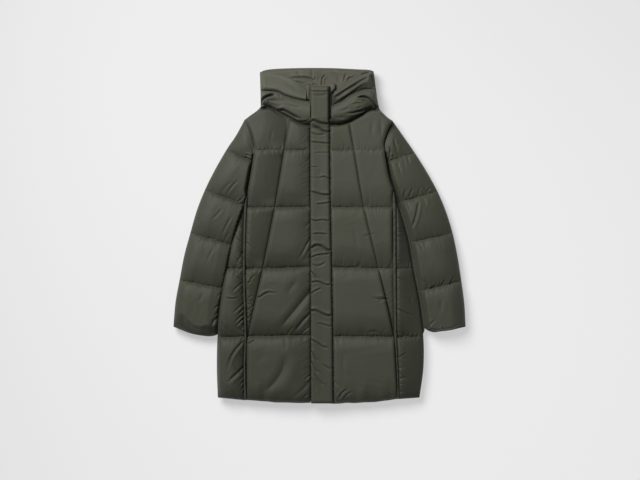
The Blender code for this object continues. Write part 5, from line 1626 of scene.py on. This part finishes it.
def woven(name, green, grey):
    """Fine satin-matt nylon: two close shades in soft patches, a tight weave, and small ripples."""
    cloth = Cloth(name, Metallic=0.0, Sheen_Weight=0.05, Sheen_Roughness=0.45, Specular_IOR_Level=0.25)
    place = cloth.node("ShaderNodeTexCoord", output="Object")

    def noise(scale, detail, roughness=0.5):
        return cloth.node(
            "ShaderNodeTexNoise", {"noise_dimensions": "3D"},
            {"Vector": place, "Scale": scale, "Detail": detail, "Roughness": roughness},
        )

    x = cloth.node("ShaderNodeSeparateXYZ", None, {0: place}, 0)
    y = cloth.node("ShaderNodeSeparateXYZ", None, {0: place}, 1)
    turns = 2.0 * math.pi / THREAD_PITCH
    weave = (x * turns).sine() * (y * turns).sine()
    patches = noise(7.0, 3.0)
    mottle = noise(38.0, 2.0)
    spread = {"Value": patches * 0.7 + mottle * 0.3, 1: 0.38, 2: 0.62, 3: 0.0, 4: 1.0}
    share = cloth.node("ShaderNodeMapRange", {"clamp": True}, spread)
    shade = cloth.node("ShaderNodeMix", {"data_type": "RGBA"}, {"Factor": share, 6: green, 7: grey}, 2)
    cloth.feed("Base Color", shade)
    cloth.feed("Roughness", 0.60 + (mottle - 0.5) * 0.10)
    ripples = noise(70.0, 2.0) + noise(240.0, 1.0) * 0.35
    relief = {"Strength": 1.0, "Distance": RIPPLE_HEIGHT, "Height": ripples}
    rippled = cloth.node("ShaderNodeBump", None, relief)
    relief = {"Strength": 1.0, "Distance": WEAVE_HEIGHT, "Height": weave, "Normal": rippled}
    cloth.feed("Normal", cloth.node("ShaderNodeBump", None, relief))
    return cloth.material


def thread_finish():
    cloth = Cloth("sewing_thread", Roughness=0.55, Metallic=0.0)
    place = cloth.node("ShaderNodeTexCoord", output="Object")
    twist = cloth.node("ShaderNodeTexNoise", None, {"Vector": place, "Scale": 900.0, "Detail": 1.0})
    shade = cloth.node(
        "ShaderNodeMix", {"data_type": "RGBA"},
        {"Factor": twist, 6: (0.040, 0.042, 0.030, 1.0), 7: (0.064, 0.066, 0.048, 1.0)}, 2,
    )
    cloth.feed("Base Color", shade)
    return cloth.material


# ---------------------------------------------------------------- stitching
STITCH_LENGTH = 0.0026
STITCH_STEP = 0.0036
THREAD_HALF_WIDTH = 0.00042


THREAD_LIFT = 0.00018
MOST_STEP = 0.0015
STITCH_RINGS = ((0.0, 0.35), (0.25, 1.0), (0.75, 1.0), (1.0, 0.35))


def add_stitching(name, lines, covers, finish, from_below=False):
    """Short raised stitches along sewn lines, laid on the pieces that they hold."""
    start = -0.05 if from_below else 0.25
    ray = Vector((0.0, 0.0, 1.0 if from_below else -1.0))
    lift = -THREAD_LIFT if from_below else THREAD_LIFT
    points, faces = [], []
    for line in lines:
        even = spaced(np.asarray(line), STITCH_STEP)
        for a, b in zip(even[1:-1], even[2:]):
            middle = (a + b) / 2.0
            run = (b - a) / np.linalg.norm(b - a)
            ends = [middle - run * STITCH_LENGTH / 2.0, middle + run * STITCH_LENGTH / 2.0]
            heights = []
            for place in ends:
                hits = [tree.ray_cast(Vector((*place, start)), ray)[0] for tree in covers]
                hits = [hit.z for hit in hits if hit is not None]
                if hits:
                    heights.append(min(hits) if from_below else max(hits))
            if len(heights) < 2 or abs(heights[0] - heights[1]) > MOST_STEP:
                continue
            across = np.array([-run[1], run[0]])
            first = len(points)
            for share, width in STITCH_RINGS:
                place = mix(ends[0], ends[1], share)
                z = mix(heights[0], heights[1], share) + lift
                half = THREAD_HALF_WIDTH * width
                side = across * half
                points += [(*(place - side), z), (*place, z + half), (*(place + side), z), (*place, z - half)]
            for ring in range(3):
                for k in range(4):
                    a0, b0 = first + 4 * ring + k, first + 4 * ring + (k + 1) % 4
                    faces.append((a0, b0, b0 + 4, a0 + 4))
            faces += [(first + 3, first + 2, first + 1, first), tuple(first + 12 + k for k in range(4))]
    mesh = make_mesh(name, points, faces)
    mesh.shade_smooth()
    mesh.materials.append(finish)
    stitching = bpy.data.objects.new(name, mesh)
    bpy.context.scene.collection.objects.link(stitching)
    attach(stitching, "root")
    return stitching


# ---------------------------------------------------------------- setting
SKY_STRENGTH = 0.12
KEY_STRENGTH = 112.0
KEY_WIDTH = 1.75
KEY_DISTANCE = 3.1
KEY_FROM = (-0.48, 0.62, 1.00)
FLOOR_SHADE = 0.42
FLOOR_WIDTH = 40.0
FLOOR_FAR = (1.30, 4.20)
FLOOR_FAR_GLOW = 0.78
FLOOR_GLOW = 0.440
FLOOR_GLOW_FALL = 0.2220
FLOOR_GLOW_BEND = 0.075
FLOOR_GLOW_LIMIT = 0.95
CAMERA_PLACE = (0.0009, -0.0135, 4.56)
LENS_LENGTH = 85.0
SENSOR_WIDTH = 36.0
FARTHEST_SEEN = 50.0


def add_setting():
    """A pale floor, a soft light from above beyond the hood's right side, and a camera straight above.

    The floor glows less toward the light, so that it looks even, and far off it glows alone.
    """
    scene = bpy.context.scene
    bpy.ops.mesh.primitive_plane_add(size=FLOOR_WIDTH, location=(0.0, 0.0, -0.0003))
    floor = bpy.context.object
    floor.name = "floor"
    finish = Cloth(
        "pale_floor", Base_Color=(FLOOR_SHADE,) * 3 + (1.0,), Roughness=0.9, Specular_IOR_Level=0.0,
        Emission_Strength=1.0,
    )
    place = finish.node("ShaderNodeTexCoord", output="Object")
    x = finish.node("ShaderNodeSeparateXYZ", None, {0: place}, 0)
    y = finish.node("ShaderNodeSeparateXYZ", None, {0: place}, 1)
    toward_key = x * KEY_FROM[0] + y * KEY_FROM[1]
    limits = {"Value": toward_key, "Min": -FLOOR_GLOW_LIMIT, "Max": FLOOR_GLOW_LIMIT}
    toward_key = finish.node("ShaderNodeClamp", None, limits)
    glow = FLOOR_GLOW - toward_key * FLOOR_GLOW_FALL - toward_key * toward_key * FLOOR_GLOW_BEND
    distance = finish.node("ShaderNodeVectorMath", {"operation": "LENGTH"}, {0: place}, "Value")
    far = {"Value": distance, "From Min": FLOOR_FAR[0], "From Max": FLOOR_FAR[1]}
    far = finish.node("ShaderNodeMapRange", {"interpolation_type": "SMOOTHSTEP"}, far)
    glow = glow + far * (FLOOR_FAR_GLOW - glow)
    finish.feed("Emission Color", finish.node("ShaderNodeCombineColor", None, {0: glow, 1: glow, 2: glow}))
    floor.data.materials.append(finish.material)
    sky = bpy.data.worlds.new("soft_studio")
    sky.use_nodes = True
    sky.node_tree.nodes["Background"].inputs["Color"].default_value = (1.0, 1.0, 1.0, 1.0)
    sky.node_tree.nodes["Background"].inputs["Strength"].default_value = SKY_STRENGTH
    scene.world = sky
    lamp = bpy.data.lights.new("key", "AREA")
    lamp.shape = "DISK"
    lamp.energy = KEY_STRENGTH
    lamp.size = KEY_WIDTH
    key = bpy.data.objects.new("key", lamp)
    key.location = Vector(KEY_FROM).normalized() * KEY_DISTANCE
    key.rotation_euler = Vector(KEY_FROM).to_track_quat("Z", "Y").to_euler()
    scene.collection.objects.link(key)
    lens = bpy.data.cameras.new("overhead")
    lens.lens = LENS_LENGTH
    lens.sensor_width = SENSOR_WIDTH
    lens.clip_end = FARTHEST_SEEN
    camera = bpy.data.objects.new("overhead", lens)
    camera.location = CAMERA_PLACE
    scene.collection.objects.link(camera)
    scene.camera = camera
    scene.view_settings.view_transform = "Standard"


# Two close shades of each nylon: a greener and a greyer one.
SHADES = {
    "shell": ((0.056, 0.060, 0.038, 1.0), (0.060, 0.061, 0.046, 1.0)),
    "trim": ((0.052, 0.056, 0.036, 1.0), (0.055, 0.056, 0.042, 1.0)),
    "inner": ((0.071, 0.071, 0.050, 1.0), (0.072, 0.071, 0.056, 1.0)),
    # side: a darker copy of the shell, painted shade for the wearer's right fronts, both side panels and the
    # right sleeve.
    "side": ((0.0465, 0.0493, 0.0316, 1.0), (0.0493, 0.0503, 0.0383, 1.0)),
    # hood: a much lighter copy of the shell, painted light on the hood's right side.
    "hood": ((0.079, 0.082, 0.055, 1.0), (0.081, 0.081, 0.062, 1.0)),
    # collar: a lighter copy of the shell, painted light on the right collar and the hood's left side.
    "collar": ((0.064, 0.067, 0.044, 1.0), (0.067, 0.067, 0.052, 1.0)),
}

# A slot name, which is not used, and the nylon of each piece. The others have the shell's.
SLOTS_AND_NYLONS = {
    # Painted shade: these five pieces take the darker side nylon.
    "front_centre_right": ("shell", "side"),
    "front_side_right": ("shell", "side"),
    "side_panel_right": ("shell", "side"),
    "side_panel_left": ("shell", "side"),
    "sleeve_right": ("shell", "side"),
    # Painted light: these two pieces take the lighter collar nylon.
    "collar_right": ("shell", "collar"),
    "hood_side_left": ("shell", "collar"),
    # Painted light: the hood's right side takes the lighter hood nylon.
    "hood_side_right": ("shell", "hood"),
    "hood_back": ("inner", "inner"),
    "stand_collar": ("inner", "inner"),
    "placket": ("trim", "trim"),
    "side_strip_right": ("trim", "trim"),
    "side_strip_left": ("trim", "trim"),
}


def main():
    add_setting()
    nylons = {name: woven(f"{name}_nylon", *shades) for name, shades in SHADES.items()}
    thread = thread_finish()

    pieces = []
    for side in ("right", "left"):
        pieces += [add_front_centre(side), add_front_side(side), add_side_panel(side), add_sleeve(side)]
        pieces += [add_roll("hood_side", side), add_roll("collar", side)]
    pieces += [add_placket(), add_hood_back()]
    back = add_back()

    for piece in pieces:
        piece.stuff()
    for number in range(1, PUFF_FRAMES + 1):
        bpy.context.scene.frame_set(number)
    depsgraph = bpy.context.evaluated_depsgraph_get()
    for piece in pieces:
        piece.settle(depsgraph)
    bpy.context.scene.frame_set(1)

    for piece in pieces:
        piece.refine()
        piece.crease(CREASES.get(piece.name, []))
    for piece in [*pieces, back]:
        if hasattr(piece, "underside"):
            sewn_under(piece)
        else:
            piece.close()

    dressed = {piece.name: piece.object for piece in [*pieces, back]}
    for side in ("right", "left"):
        dressed[f"side_strip_{side}"] = add_side_strip(side)
    dressed["stand_collar"] = add_stand_collar()
    for name, piece in dressed.items():
        slot, nylon = SLOTS_AND_NYLONS.get(name, ("shell", "shell"))
        piece.name = f"{name}_cloth"
        piece.data.materials.clear()
        piece.data.materials.append(nylons[nylon])
        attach(piece, "root")
        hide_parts(name)

    covers = {}
    for name, piece in dressed.items():
        corners = [tuple(vertex.co) for vertex in piece.data.vertices]
        covers[name] = BVHTree.FromPolygons(corners, [tuple(face.vertices) for face in piece.data.polygons])
    fronts = [piece for piece in pieces if "front" in piece.name or "panel" in piece.name]
    front_lines = [line for piece in fronts for line in piece.sewn if abs(line[0][1] - line[-1][1]) < 0.05]
    add_stitching("quilt_stitching_front", front_lines, [covers[piece.name] for piece in fronts], thread)
    for side in ("right", "left"):
        sleeve = next(piece for piece in pieces if piece.name == f"sleeve_{side}")
        add_stitching(f"quilt_stitching_sleeve_{side}", sleeve.sewn, [covers[sleeve.name]], thread)
    add_stitching("quilt_stitching_back", back.sewn, [covers["back"]], thread, from_below=True)
    placket_edges = [
        placket_line(0, 0.444, -0.499) + [0.0022, 0.0],
        np.array([(-0.0270, 0.4293), (0.0290, 0.4293)]),
    ]
    add_stitching("placket_stitching", placket_edges, [covers["placket"]], thread)


main()
